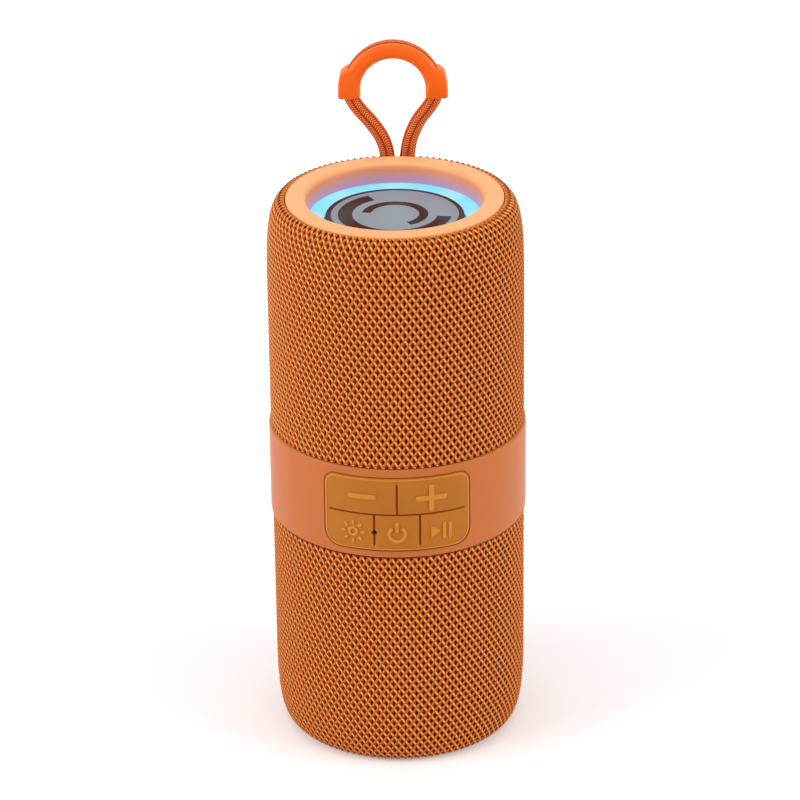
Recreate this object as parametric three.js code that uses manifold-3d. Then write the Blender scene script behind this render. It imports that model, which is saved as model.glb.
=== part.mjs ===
// A portable cylindrical speaker. Two knit sleeves cover perforated grilles above and below a moulded
// band with a keypad; a lit passive radiator closes each end; two small drivers face forward; a braided
// strap with a moulded grip swings on a pin at the back.
// Millimetres, +Z up, the front faces -Y, and the origin is the centre of the face it stands on.
import * as THREE from 'three';
import { mergeVertices } from 'three/addons/utils/BufferGeometryUtils.js';
import Module from 'manifold-3d';

const wasm = await Module();
wasm.setup();

// Overall sizes
const HEIGHT = 177;
const BAND_R = 40;
const BAND_HEIGHT = 29.8;
const BAND_EDGE = 0.9; // rounding of the band's rims
const BAND_PROUD = 0.65; // height of the band above the knit
const SHOULDER_HEIGHT = 28.9; // length over which a sleeve rounds in towards its end
const SHOULDER_POWER = 3.16; // 2 is an ellipse, larger is squarer
const GAP = 0.3; // clearance between pieces that touch

// Walls, from the outside in
const FABRIC_T = 1.2;
const GRILLE_T = 1.5;
const HOUSING_T = 2;

// Ends: depths are measured inwards from the rim of the bezel
const SHOULDER_INSET = 6.05; // from the side of the knit in to the outside of the bezel
const RIM_WIDTH = 6;
const BEZEL_WALL = 1.8;
const BEZEL_PROUD = 0.6; // height of the rim above the knit
const RECESS_DEPTH = 6.2; // foot of the bezel's inner wall
const RECESS_TAPER = 1.3;
const LIGHT_T = 1.3;
const LIGHT_TO_BOARD = 2.4; // from the back of the light ring to the LEDs' board
const LED_COUNT = 8;
const LED_SIZE = 1.8;
const LED_RISE = 0.7;
const BOARD_T = 1.6;
const PLATE_R = 21.2;
const PLATE_DEPTH = 6.1;
const PLATE_T = 2.9;
const PLATE_CLEARANCE = 0.7;
const SURROUND_HEIGHT = 5.4;
const SURROUND_T = 0.8;
const FRAME_T = 2;

// Keypad: one row of two keys over one row of three
const PAD_WIDTH = 44.4;
const PAD_HEIGHT = 24.2;
const PAD_TOP_CORNER = 3;
const PAD_BOTTOM_CORNER = 5;
const PAD_PROUD = 0.4;
const KEY_T = 2.4;
const KEY_GROOVE = 0.6;
const KEY_TRAVEL = 0.5;
const LOWER_KEY_WIDTH = 14.1; // the middle key of the lower row
const STEM_R = 1.5;
const MAT_T = 0.8;
const SWITCH_SIZE = 4.5;
const SWITCH_BODY = 1.6;
const SWITCH_TALL = 2.4;
const CONTROL_DEPTH = 7.45; // from the housing's outside to the face of the control board
const CONTROL_MARGIN = 0.45; // board left outside the outer switches
const MIC_R = 0.55;

// Sockets at the back and the flap over them
const FLAP_WIDTH = 34;
const FLAP_HEIGHT = 14;
const FLAP_CORNER = 3;
const FLAP_T = 1.8;
const FLAP_TO_PLATE = 0.65;
const PORT_PITCH = 10.5;
const USB_WIDTH = 8.9;
const CARD_WIDTH = 11.5;
const JACK_R = 2.7;
const MAIN_BOARD_DEPTH = 9.05; // from the housing's outside to the inner face of the main board
const MAIN_BOARD_WIDTH = 34;
const MAIN_BOARD_HEIGHT = 49;

// Drivers
const DRIVER_R = 26;
const DRIVER_PITCH = 87; // between the axes of the two drivers
const BAFFLE_DEPTH = 14.05; // from the housing's outside to the face of the baffle
const BAFFLE_T = 2;
const MAGNET_R = 15;
const BASKET_DEPTH = 12.2;
const MAGNET_DEPTH = 21;
const PARTITION_GAP = 2.5; // from a driver's flange to the wall across the housing
const COIL_R = 7;
const SLOT_COUNT = 4;
const SLOT_WIDTH = 36;
const SLOT_HEIGHT = 4;
const SLOT_PITCH = 9;

// Battery
const CELL_R = 9.2;
const CELL_LENGTH = 65;
const CRADLE_SIDE_T = 1.5;
const CRADLE_BACK_T = 1.4;

// Housing screws
const SCREW_PITCH = 56;
const SCREW_SEAT_Y = 6;
const SCREW_R = 1;
const SCREW_HEAD_R = 2.1;
const BOSS_R = 3.4;
const BOSS_LENGTH = 14;
const BOSS_BITE = 1.36; // how far a boss's end runs into the housing's wall

// Strap, anchored at the back of the upper sleeve
const CORD_R = 2.25;
const STRAP_STANDOFF = 3.25; // from the knit to the plane of the strap
const STRAP_DROP = 26; // from the top rim down to the pin
const EYE_CLEARANCE = 0.35; // beside each eye in its slot
const END_LENGTH = 6;
const EYE_R = 3.1;
const PIN_R = 1.25;
const RIB_T = 1;
const CHEEK_T = 2.5;
const BRACKET_WIDTH = 22;
const BRACKET_HEIGHT = 15;
const NECK_WIDTH = 18;
const NECK_HEIGHT = 12;
const BRACKET_PROUD = 1.35;
const GRIP_X = -0.67;
const GRIP_ARCH_RISE = 45.1; // from the pin to the centre of the grip's round arch
const GRIP_ARCH_R = 13.3; // the cord's centreline in the arch
const GRIP_INNER_R = 10.1;
const GRIP_OUTER_R = 15;
const GRIP_FOOT_DROP = 3.3; // from that centre down to the grip's feet
const GRIP_SHOULDER_RISE = 7.7;
const GRIP_HALF_WIDTH = 17.2;
const GRIP_DEPTH = 7.2;

// Facets
const ROUND = 28;
const END_ROUND = 20;
const DRIVER_ROUND = 16;
const SMALL_ROUND = 10;
const SHOULDER_STEPS = 4;
const CORD_SIDES = 8;
const CORD_STEPS = 30;

// What follows from them
const MID_Z = HEIGHT / 2;
const FABRIC_R = BAND_R - BAND_PROUD;
const BEZEL_R = FABRIC_R - SHOULDER_INSET;
const BEZEL_INNER_R = BEZEL_R - RIM_WIDTH;
const RECESS_R = BEZEL_INNER_R - RECESS_TAPER;
const SLEEVE_Z = MID_Z + BAND_HEIGHT / 2 + GAP;
const SHOULDER_Z = HEIGHT - SHOULDER_HEIGHT;
const HOUSING_R = FABRIC_R - FABRIC_T - GRILLE_T - 2 * GAP;
const HOUSING_INNER_R = HOUSING_R - HOUSING_T;
const BAND_INNER_R = HOUSING_R + GAP;
const SCREW_X = Math.sqrt(HOUSING_INNER_R ** 2 - BOSS_LENGTH ** 2) - BOSS_R + BOSS_BITE;
const CONTROL_FRONT_Y = CONTROL_DEPTH - HOUSING_R;
const BAFFLE_Y = BAFFLE_DEPTH - HOUSING_R;
const MAIN_BOARD_Y = HOUSING_R - MAIN_BOARD_DEPTH;
const CELL_Y = MAIN_BOARD_Y - 3 * GAP - CRADLE_BACK_T - CELL_R;
const CRADLE_WIDTH = 2 * (CELL_R + GAP + CRADLE_SIDE_T);
const LIGHT_DEPTH = RECESS_DEPTH + GAP;
const LED_BOARD_DEPTH = LIGHT_DEPTH + LIGHT_T + LIGHT_TO_BOARD;
const LED_BOARD_R = BEZEL_INNER_R + 1;
const SURROUND_DEPTH = PLATE_DEPTH + PLATE_T + GAP;
const FRAME_DEPTH = SURROUND_DEPTH + SURROUND_HEIGHT + GAP;
const HOUSING_DEPTH = FRAME_DEPTH + FRAME_T + GAP;
const KEY_R = BAND_R + PAD_PROUD;
const KEY_BACK_R = KEY_R - KEY_T;
const MAT_R = BAND_INNER_R + MAT_T;
const STEM_END_Y = CONTROL_FRONT_Y - GAP - SWITCH_TALL - KEY_TRAVEL - GAP;
const PORT_PLATE_R = BAND_R - FLAP_T - FLAP_TO_PLATE;
const STRAP_Y = FABRIC_R + STRAP_STANDOFF;
const STRAP_Z = HEIGHT - STRAP_DROP;
const STRAP_PITCH = RIB_T + 2 * (CORD_R + EYE_CLEARANCE); // between the two legs at the pin
const GRIP_ARCH_Z = STRAP_Z + GRIP_ARCH_RISE;
const GRIP_FOOT_Z = GRIP_ARCH_Z - GRIP_FOOT_DROP;
const GRIP_SHOULDER_Z = GRIP_ARCH_Z + GRIP_SHOULDER_RISE;
const BRACKET_R = FABRIC_R + GAP + BRACKET_PROUD;
const SLOT_INNER_X = RIB_T / 2;
const SLOT_OUTER_X = STRAP_PITCH - RIB_T / 2;
const BRACKET_SLOT_Y = STRAP_Y - EYE_R - 0.5;

// ---- Solids ----

// A closed geometry as a solid that can be joined and cut, facing outwards whichever way it was drawn.
function solid(geometry) {
  const bare = new THREE.BufferGeometry();
  const loose = geometry.index ? geometry.toNonIndexed() : geometry;
  bare.setAttribute('position', loose.getAttribute('position'));
  const merged = mergeVertices(bare, 1e-4);
  const corners = [...merged.index.array];
  const kept = [];
  for (let i = 0; i < corners.length; i += 3) {
    const [a, b, c] = corners.slice(i, i + 3);
    if (a !== b && b !== c && c !== a) kept.push([a, b, c]);
  }
  const build = (triangles) => new wasm.Manifold(new wasm.Mesh({
    numProp: 3,
    vertProperties: merged.attributes.position.array,
    triVerts: new Uint32Array(triangles.flat()),
  }));
  const made = build(kept);
  return made.volume() < 0 ? build(kept.map(([a, b, c]) => [a, c, b])) : made;
}

// A solid back as a geometry with flat-shaded faces.
function geometryOf(made) {
  const mesh = made.getMesh();
  const places = new Float32Array((mesh.vertProperties.length / mesh.numProp) * 3);
  for (let i = 0; i < places.length / 3; i++) {
    for (let k = 0; k < 3; k++) places[3 * i + k] = mesh.vertProperties[mesh.numProp * i + k];
  }
  const geometry = new THREE.BufferGeometry();
  geometry.setAttribute('position', new THREE.BufferAttribute(places, 3));
  geometry.setIndex([...mesh.triVerts]);
  const flat = geometry.toNonIndexed();
  flat.computeVertexNormals();
  return flat;
}

// A profile of [radius, height] points turned about the Z axis.
function turned(profile, sides = ROUND) {
  const points = [...profile, profile[0]].map(([r, z]) => new THREE.Vector2(r, z));
  return solid(new THREE.LatheGeometry(points, sides).rotateX(Math.PI / 2));
}

function tube(outer, inner, low, high, sides = ROUND) {
  return turned([[outer, low], [outer, high], [inner, high], [inner, low]], sides);
}

function disc(radius, low, high, sides = ROUND) {
  return turned([[0, low], [radius, low], [radius, high], [0, high]], sides);
}

function block([x0, x1], [y0, y1], [z0, z1]) {
  const box = new THREE.BoxGeometry(x1 - x0, y1 - y0, z1 - z0);
  return solid(box.translate((x0 + x1) / 2, (y0 + y1) / 2, (z0 + z1) / 2));
}

// A round bar along one axis, between two places on that axis; the other two coordinates are in `at`.
function bar(axis, radius, [from, to], at, sides = SMALL_ROUND) {
  const round = new THREE.CylinderGeometry(radius, radius, to - from, sides);
  const middle = (from + to) / 2;
  if (axis === 'x') return solid(round.rotateZ(Math.PI / 2).translate(middle, at[0], at[1]));
  if (axis === 'y') return solid(round.translate(at[0], middle, at[1]));
  return solid(round.rotateX(Math.PI / 2).translate(at[0], at[1], middle));
}

// An outline in X and Z, carried along Y from one place to another.
function prismY(shape, [from, to], curveSegments = 3) {
  const settings = { depth: to - from, bevelEnabled: false, curveSegments };
  return solid(new THREE.ExtrudeGeometry(shape, settings).rotateX(Math.PI / 2).translate(0, to, 0));
}

// An outline in Y and Z, carried along X.
function prismX(shape, [from, to], curveSegments = 4) {
  const settings = { depth: to - from, bevelEnabled: false, curveSegments };
  const turn = new THREE.Matrix4().makeBasis(
    new THREE.Vector3(0, 1, 0), new THREE.Vector3(0, 0, 1), new THREE.Vector3(1, 0, 0));
  return solid(new THREE.ExtrudeGeometry(shape, settings).applyMatrix4(turn).translate(from, 0, 0));
}

// A rectangle with round corners, grown on every side by `grow`.
function panel(width, height, topCorner, bottomCorner, centreZ, grow = 0) {
  const x = width / 2 + grow;
  const high = centreZ + height / 2 + grow;
  const low = centreZ - height / 2 - grow;
  const top = topCorner + grow;
  const bottom = bottomCorner + grow;
  const shape = new THREE.Shape();
  shape.absarc(x - top, high - top, top, 0, Math.PI / 2);
  shape.absarc(-x + top, high - top, top, Math.PI / 2, Math.PI);
  shape.absarc(-x + bottom, low + bottom, bottom, Math.PI, 1.5 * Math.PI);
  shape.absarc(x - bottom, low + bottom, bottom, 1.5 * Math.PI, 2 * Math.PI);
  return shape;
}

function joined(first, ...rest) {
  return rest.reduce((sum, next) => sum.add(next), first);
}

function cut(first, ...rest) {
  return rest.reduce((left, next) => left.subtract(next), first);
}

const mirrored = (profile) => profile.map(([r, z]) => [r, HEIGHT - z]);
const both = (value) => [-value, value];

// ---- Finishes ----

function finish(color, roughness, metalness = 0) {
  return new THREE.MeshStandardMaterial({ color, roughness, metalness, flatShading: true });
}

const KNIT = finish(0xd6701f, 0.8);
const BEZEL_PLASTIC = finish(0xfbb886, 0.45);
const BAND_PLASTIC = finish(0xca7044, 0.5);
const KEY_SILICONE = finish(0xc07628, 0.6);
const GRIP_PLASTIC = finish(0xff5f18, 0.4);
const CORD_BRAID = finish(0xc2450f, 0.8);
const BLACK_PLASTIC = finish(0x1d1b1a, 0.6);
const DIFFUSER = finish(0x9be8ff, 0.35);
const BOARD_GREEN = finish(0x1f5a33, 0.5);
const RUBBER = finish(0x262322, 0.8);
const PLATE_BROWN = finish(0x482b28, 0.3);
const STEEL = finish(0xb9bcc0, 0.3, 1);
const CONE_PAPER = finish(0x2b2826, 0.85);
const CELL_WRAP = finish(0x2f6db3, 0.4);

const speaker = new THREE.Group();

function add(parent, name, made, material) {
  const mesh = new THREE.Mesh(geometryOf(made), material);
  mesh.name = name;
  parent.add(mesh);
}

// ---- Sleeves: knit over a perforated grille ----

// The shoulder of a sleeve at `inset` under the knit's outer skin, from the straight side to the bezel.
function shoulder(inset) {
  const inward = FABRIC_R - BEZEL_R;
  const upward = SHOULDER_HEIGHT - BEZEL_PROUD - inset;
  const last = Math.acos(((GAP + inset) / inward) ** (SHOULDER_POWER / 2));
  const points = [];
  for (let i = 0; i <= SHOULDER_STEPS; i++) {
    const turn = (last * i) / SHOULDER_STEPS;
    points.push([
      BEZEL_R - inset + inward * Math.cos(turn) ** (2 / SHOULDER_POWER),
      SHOULDER_Z + upward * Math.sin(turn) ** (2 / SHOULDER_POWER),
    ]);
  }
  return points;
}

function sleeve(outerInset, thickness) {
  const innerInset = outerInset + thickness;
  return [
    [FABRIC_R - outerInset, SLEEVE_Z],
    ...shoulder(outerInset),
    ...shoulder(innerInset).reverse(),
    [FABRIC_R - innerInset, SLEEVE_Z],
  ];
}

const bracketWindow = prismY(
  panel(NECK_WIDTH, NECK_HEIGHT, 2, 2, STRAP_Z, GAP), [HOUSING_R - 8, BRACKET_R + 2]);

function driverZ(side) {
  return MID_Z + (side * DRIVER_PITCH) / 2;
}

// Sound slots across the front of a grille, centred on its driver.
function soundSlots(side) {
  const slots = [];
  for (let i = 0; i < SLOT_COUNT; i++) {
    const z = driverZ(side) + (i - (SLOT_COUNT - 1) / 2) * SLOT_PITCH;
    slots.push(block(both(SLOT_WIDTH / 2), [-FABRIC_R, 0], [z - SLOT_HEIGHT / 2, z + SLOT_HEIGHT / 2]));
  }
  return slots;
}

function sleeves() {
  const grilleInset = FABRIC_T + GAP;
  const knit = sleeve(0, FABRIC_T);
  const grille = sleeve(grilleInset, GRILLE_T);
  add(speaker, 'upper_fabric_sleeve', cut(turned(knit), bracketWindow), KNIT);
  add(speaker, 'lower_fabric_sleeve', turned(mirrored(knit)), KNIT);
  add(speaker, 'upper_grille', cut(turned(grille), bracketWindow, ...soundSlots(1)), BLACK_PLASTIC);
  add(speaker, 'lower_grille', cut(turned(mirrored(grille)), ...soundSlots(-1)), BLACK_PLASTIC);
}

// ---- Band, keypad and control board ----

const PAD_LOW = MID_Z - PAD_HEIGHT / 2;
const PAD_HIGH = MID_Z + PAD_HEIGHT / 2;
const UPPER_KEY_X = PAD_WIDTH / 4;
const LOWER_KEY_X = (PAD_WIDTH / 2 + LOWER_KEY_WIDTH / 2) / 2;
const CONTROL_WIDTH = 2 * (LOWER_KEY_X + SWITCH_SIZE / 2 + CONTROL_MARGIN);
const UPPER_KEY_Z = MID_Z + PAD_HEIGHT / 4;
const LOWER_KEY_Z = MID_Z - PAD_HEIGHT / 4;
const MIC_X = -LOWER_KEY_WIDTH / 2;
const FRONT_REACH = [-KEY_R - 5, -HOUSING_INNER_R / 2];
const REAR_REACH = [HOUSING_INNER_R / 2, BAND_R + 5];

// Each key: its name, the part of the pad it fills and the place of its stem.
const KEYS = [
  { name: 'minus', x: [-PAD_WIDTH, -KEY_GROOVE / 2], upper: true, stem: -UPPER_KEY_X },
  { name: 'plus', x: [KEY_GROOVE / 2, PAD_WIDTH], upper: true, stem: UPPER_KEY_X },
  { name: 'light', x: [-PAD_WIDTH, -(LOWER_KEY_WIDTH + KEY_GROOVE) / 2], stem: -LOWER_KEY_X },
  { name: 'power', x: both((LOWER_KEY_WIDTH - KEY_GROOVE) / 2), stem: 0 },
  { name: 'play', x: [(LOWER_KEY_WIDTH + KEY_GROOVE) / 2, PAD_WIDTH], stem: LOWER_KEY_X },
];

const keyZ = (key) => (key.upper ? UPPER_KEY_Z : LOWER_KEY_Z);

function padPrism(grow) {
  return prismY(
    panel(PAD_WIDTH, PAD_HEIGHT, PAD_TOP_CORNER, PAD_BOTTOM_CORNER, MID_Z, grow), FRONT_REACH);
}

function flapPrism(grow) {
  return prismY(panel(FLAP_WIDTH, FLAP_HEIGHT, FLAP_CORNER, FLAP_CORNER, MID_Z, grow), REAR_REACH);
}

function band() {
  const low = MID_Z - BAND_HEIGHT / 2;
  const high = MID_Z + BAND_HEIGHT / 2;
  const ring = turned([
    [BAND_INNER_R, low], [BAND_R - BAND_EDGE, low], [BAND_R, low + BAND_EDGE],
    [BAND_R, high - BAND_EDGE], [BAND_R - BAND_EDGE, high], [BAND_INNER_R, high],
  ]);
  add(speaker, 'mid_band', cut(ring, padPrism(GAP + 0.1), flapPrism(GAP)), BAND_PLASTIC);
}

function keypad() {
  const shell = tube(KEY_R, KEY_BACK_R, PAD_LOW - 1, PAD_HIGH + 1);
  const pad = shell.intersect(padPrism(0));
  const micNotch = bar('y', MIC_R + GAP, FRONT_REACH, [MIC_X, LOWER_KEY_Z]);
  let mat = tube(MAT_R, BAND_INNER_R, PAD_LOW - 1, PAD_HIGH + 1).intersect(padPrism(0));
  for (const key of KEYS) {
    const rows = key.upper ? [MID_Z + KEY_GROOVE / 2, PAD_HIGH + 1] : [PAD_LOW - 1, MID_Z - KEY_GROOVE / 2];
    const at = [key.stem, keyZ(key)];
    const backY = -Math.sqrt(KEY_BACK_R ** 2 - key.stem ** 2) - KEY_T / 3;
    const tile = pad.intersect(block(key.x, FRONT_REACH, rows));
    const stem = bar('y', STEM_R, [backY, STEM_END_Y], at);
    add(speaker, 'key_' + key.name, joined(tile, stem).subtract(micNotch), KEY_SILICONE);
    mat = mat.subtract(bar('y', STEM_R + GAP, FRONT_REACH, at));
  }
  add(speaker, 'keypad_mat', mat.subtract(micNotch), KEY_SILICONE);
}

const CONTROL_BOARD_Z = [PAD_LOW - 0.2, PAD_HIGH + 0.2];

function controls() {
  const boardY = [CONTROL_FRONT_Y, CONTROL_FRONT_Y + BOARD_T];
  add(speaker, 'control_board', block(both(CONTROL_WIDTH / 2), boardY, CONTROL_BOARD_Z), BOARD_GREEN);
  const back = CONTROL_FRONT_Y - GAP;
  const half = SWITCH_SIZE / 2;
  for (const key of KEYS) {
    const z = keyZ(key);
    const body = block(
      [key.stem - half, key.stem + half], [back - SWITCH_BODY, back], [z - half, z + half]);
    const plunger = bar('y', 1, [back - SWITCH_TALL, back - SWITCH_BODY / 2], [key.stem, z]);
    add(speaker, 'switch_' + key.name, body.add(plunger), BLACK_PLASTIC);
  }
  const capsule = bar('y', 2, [back - 2, back], [MIC_X, LOWER_KEY_Z]);
  const snout = bar('y', MIC_R, [-KEY_R + 0.6, back - 1], [MIC_X, LOWER_KEY_Z]);
  add(speaker, 'microphone', capsule.add(snout), BLACK_PLASTIC);
}

// ---- Housing halves, screws, battery and main board ----

const HOUSING_Z = [HOUSING_DEPTH, HEIGHT - HOUSING_DEPTH];
const SCREW_ZS = [MID_Z - SCREW_PITCH / 2, MID_Z + SCREW_PITCH / 2];
const SCREW_SPOTS = SCREW_ZS.flatMap((z) => both(SCREW_X).map((x) => [x, z]));
const FRONT_HALF = [-HOUSING_R - 1, -GAP / 2];
const REAR_HALF = [GAP / 2, HOUSING_R + 1];
const SHELF_T = 1.5;
const CELL_Z = [MID_Z - CELL_LENGTH / 2, MID_Z + CELL_LENGTH / 2];
const MAIN_BOARD_Z = [MID_Z - MAIN_BOARD_HEIGHT / 2, MID_Z + MAIN_BOARD_HEIGHT / 2];

// Shelves just above and just below a board, across its width.
function shelves(width, depth, [low, high]) {
  return [
    block(both(width / 2), depth, [high + GAP, high + GAP + SHELF_T]),
    block(both(width / 2), depth, [low - GAP - SHELF_T, low - GAP]),
  ];
}

function frontHousing() {
  const core = disc(HOUSING_R - HOUSING_T / 2, ...HOUSING_Z);
  const inside = [];
  const holes = [];
  for (const side of [-1, 1]) {
    const z = driverZ(side);
    const inner = MID_Z + side * (DRIVER_PITCH / 2 - DRIVER_R - PARTITION_GAP);
    const outer = side > 0 ? HOUSING_Z[1] : HOUSING_Z[0];
    const reach = [Math.min(inner, outer), Math.max(inner, outer)];
    const wall = [Math.min(inner, inner + side * 2), Math.max(inner, inner + side * 2)];
    inside.push(block(both(HOUSING_R), [BAFFLE_Y, BAFFLE_Y + BAFFLE_T], reach));
    inside.push(block(both(HOUSING_R), [-HOUSING_R, BAFFLE_Y + BAFFLE_T], wall));
    holes.push(bar('y', DRIVER_R - 4, [BAFFLE_Y - 1, BAFFLE_Y + BAFFLE_T + 1], [0, z], DRIVER_ROUND));
    const open = [z - DRIVER_R + 3, z + DRIVER_R - 3];
    holes.push(block(both(DRIVER_R - 3), [-HOUSING_R - 1, BAFFLE_Y - GAP], open));
  }
  inside.push(...shelves(CONTROL_WIDTH, [-HOUSING_R, CONTROL_FRONT_Y + BOARD_T + 1], CONTROL_BOARD_Z));
  for (const spot of SCREW_SPOTS) {
    inside.push(bar('y', BOSS_R, [-BOSS_LENGTH, -GAP / 2], spot));
    holes.push(bar('y', SCREW_R + GAP, [4 - BOSS_LENGTH, 1], spot));
  }
  const boardSpace = [-HOUSING_R - 1, CONTROL_FRONT_Y + BOARD_T + GAP];
  holes.push(block(both(CONTROL_WIDTH / 2 + 2), boardSpace, CONTROL_BOARD_Z));
  const shell = tube(HOUSING_R, HOUSING_INNER_R, ...HOUSING_Z);
  const fittings = inside.map((piece) => piece.intersect(core));
  return cut(joined(shell, ...fittings), ...holes)
    .intersect(block(both(HOUSING_R + 1), FRONT_HALF, [0, HEIGHT]));
}

function rearHousing() {
  const core = disc(HOUSING_R - HOUSING_T / 2, ...HOUSING_Z);
  const depth = [MAIN_BOARD_Y, HOUSING_R];
  const inside = shelves(MAIN_BOARD_WIDTH, depth, MAIN_BOARD_Z);
  const holes = [prismY(panel(FLAP_WIDTH - 4, FLAP_HEIGHT - 4, 1, 1, MID_Z), REAR_REACH)];
  for (const spot of SCREW_SPOTS) {
    inside.push(bar('y', BOSS_R, [GAP / 2, HOUSING_R], spot));
    holes.push(bar('y', SCREW_R + GAP, [-1, SCREW_SEAT_Y + 1], spot));
    holes.push(bar('y', SCREW_HEAD_R + 2 * GAP, [SCREW_SEAT_Y, HOUSING_R + 1], spot));
  }
  const shell = tube(HOUSING_R, HOUSING_INNER_R, ...HOUSING_Z);
  const fittings = inside.map((piece) => piece.intersect(core));
  return cut(joined(shell, ...fittings), ...holes)
    .intersect(block(both(HOUSING_R + 1), REAR_HALF, [0, HEIGHT]));
}

function housing() {
  add(speaker, 'front_housing', frontHousing(), BLACK_PLASTIC);
  add(speaker, 'rear_housing', rearHousing(), BLACK_PLASTIC);
  SCREW_SPOTS.forEach((spot, i) => {
    const head = bar('y', SCREW_HEAD_R, [SCREW_SEAT_Y + GAP, SCREW_SEAT_Y + 2], spot);
    const shank = bar('y', SCREW_R, [-8, SCREW_SEAT_Y + 1], spot);
    add(speaker, 'housing_screw_' + (i + 1), head.add(shank), STEEL);
  });
}

function power() {
  const at = [0, CELL_Y];
  const [low, high] = CELL_Z;
  const cell = joined(
    bar('z', CELL_R, [low, high - 1.5], at, DRIVER_ROUND),
    bar('z', 3.5, [high - 2, high], at, SMALL_ROUND));
  add(speaker, 'battery_cell', cell, CELL_WRAP);

  const half = CRADLE_WIDTH / 2;
  const back = MAIN_BOARD_Y - 2 * GAP;
  const endReach = Math.sqrt(HOUSING_INNER_R ** 2 - half ** 2) - 2 * GAP;
  const trough = block(both(half), [CELL_Y, back], [low - 1, high + 1]);
  const ends = [
    block(both(half), [CELL_Y - 5, endReach], [low - GAP - 2, low - GAP]),
    block(both(half), [CELL_Y - 5, endReach], [high + GAP, high + GAP + 2]),
  ];
  const bed = bar('z', CELL_R + GAP, [low - GAP, high + GAP], at, DRIVER_ROUND);
  add(speaker, 'battery_cradle', joined(trough, ...ends).subtract(bed), BLACK_PLASTIC);

  const boardY = [MAIN_BOARD_Y, MAIN_BOARD_Y + BOARD_T];
  add(speaker, 'main_board', block(both(MAIN_BOARD_WIDTH / 2), boardY, MAIN_BOARD_Z), BOARD_GREEN);
}

// ---- Sockets and their flap ----

function sockets() {
  const back = MAIN_BOARD_Y + BOARD_T + GAP;
  const mouthY = (x) => Math.sqrt(PORT_PLATE_R ** 2 - x ** 2) - GAP;
  const usb = (grow) => panel(USB_WIDTH, 3.3, 1.6, 1.6, MID_Z, grow);
  const card = (grow) => panel(CARD_WIDTH, 2.2, 0.4, 0.4, MID_Z, grow);
  const shifted = (made, x) => made.translate([x, 0, 0]);

  const usbReach = [back, mouthY(PORT_PITCH + USB_WIDTH / 2)];
  const usbShell = prismY(usb(0), usbReach)
    .subtract(prismY(usb(-0.5), [back + 1.5, usbReach[1] + 1]))
    .add(block(both(3.2), [back + 1, usbReach[1] - 0.5], [MID_Z - 0.35, MID_Z + 0.35]));
  const cardReach = [back, mouthY(CARD_WIDTH / 2)];
  const cardShell = prismY(card(0), cardReach).subtract(prismY(card(-0.4), [back + 1.5, cardReach[1] + 1]));
  const jackAt = [PORT_PITCH, MID_Z];
  const jackMouth = mouthY(PORT_PITCH + JACK_R);
  const jackShell = joined(
    block([PORT_PITCH - 3.1, PORT_PITCH + 3.1], [back, jackMouth - 2], [MID_Z - 2.5, MID_Z + 2.5]),
    bar('y', JACK_R, [jackMouth - 3, jackMouth], jackAt, SMALL_ROUND),
  ).subtract(bar('y', JACK_R - 0.9, [back + 1, jackMouth + 1], jackAt, SMALL_ROUND));
  add(speaker, 'usb_socket', shifted(usbShell, -PORT_PITCH), STEEL);
  add(speaker, 'card_socket', cardShell, STEEL);
  add(speaker, 'aux_socket', jackShell, BLACK_PLASTIC);

  const plate = tube(PORT_PLATE_R, BAND_INNER_R, MID_Z - FLAP_HEIGHT, MID_Z + FLAP_HEIGHT)
    .intersect(flapPrism(0));
  const openings = [
    shifted(prismY(usb(GAP), REAR_REACH), -PORT_PITCH),
    prismY(card(GAP), REAR_REACH),
    bar('y', JACK_R + GAP, REAR_REACH, jackAt, SMALL_ROUND),
  ];
  add(speaker, 'port_plate', cut(plate, ...openings), BLACK_PLASTIC);
}

function flap() {
  const tile = tube(BAND_R, BAND_R - FLAP_T, MID_Z - FLAP_HEIGHT, MID_Z + FLAP_HEIGHT);
  add(speaker, 'port_cover', tile.intersect(flapPrism(0)), BAND_PLASTIC);
}

// ---- Drivers ----

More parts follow.
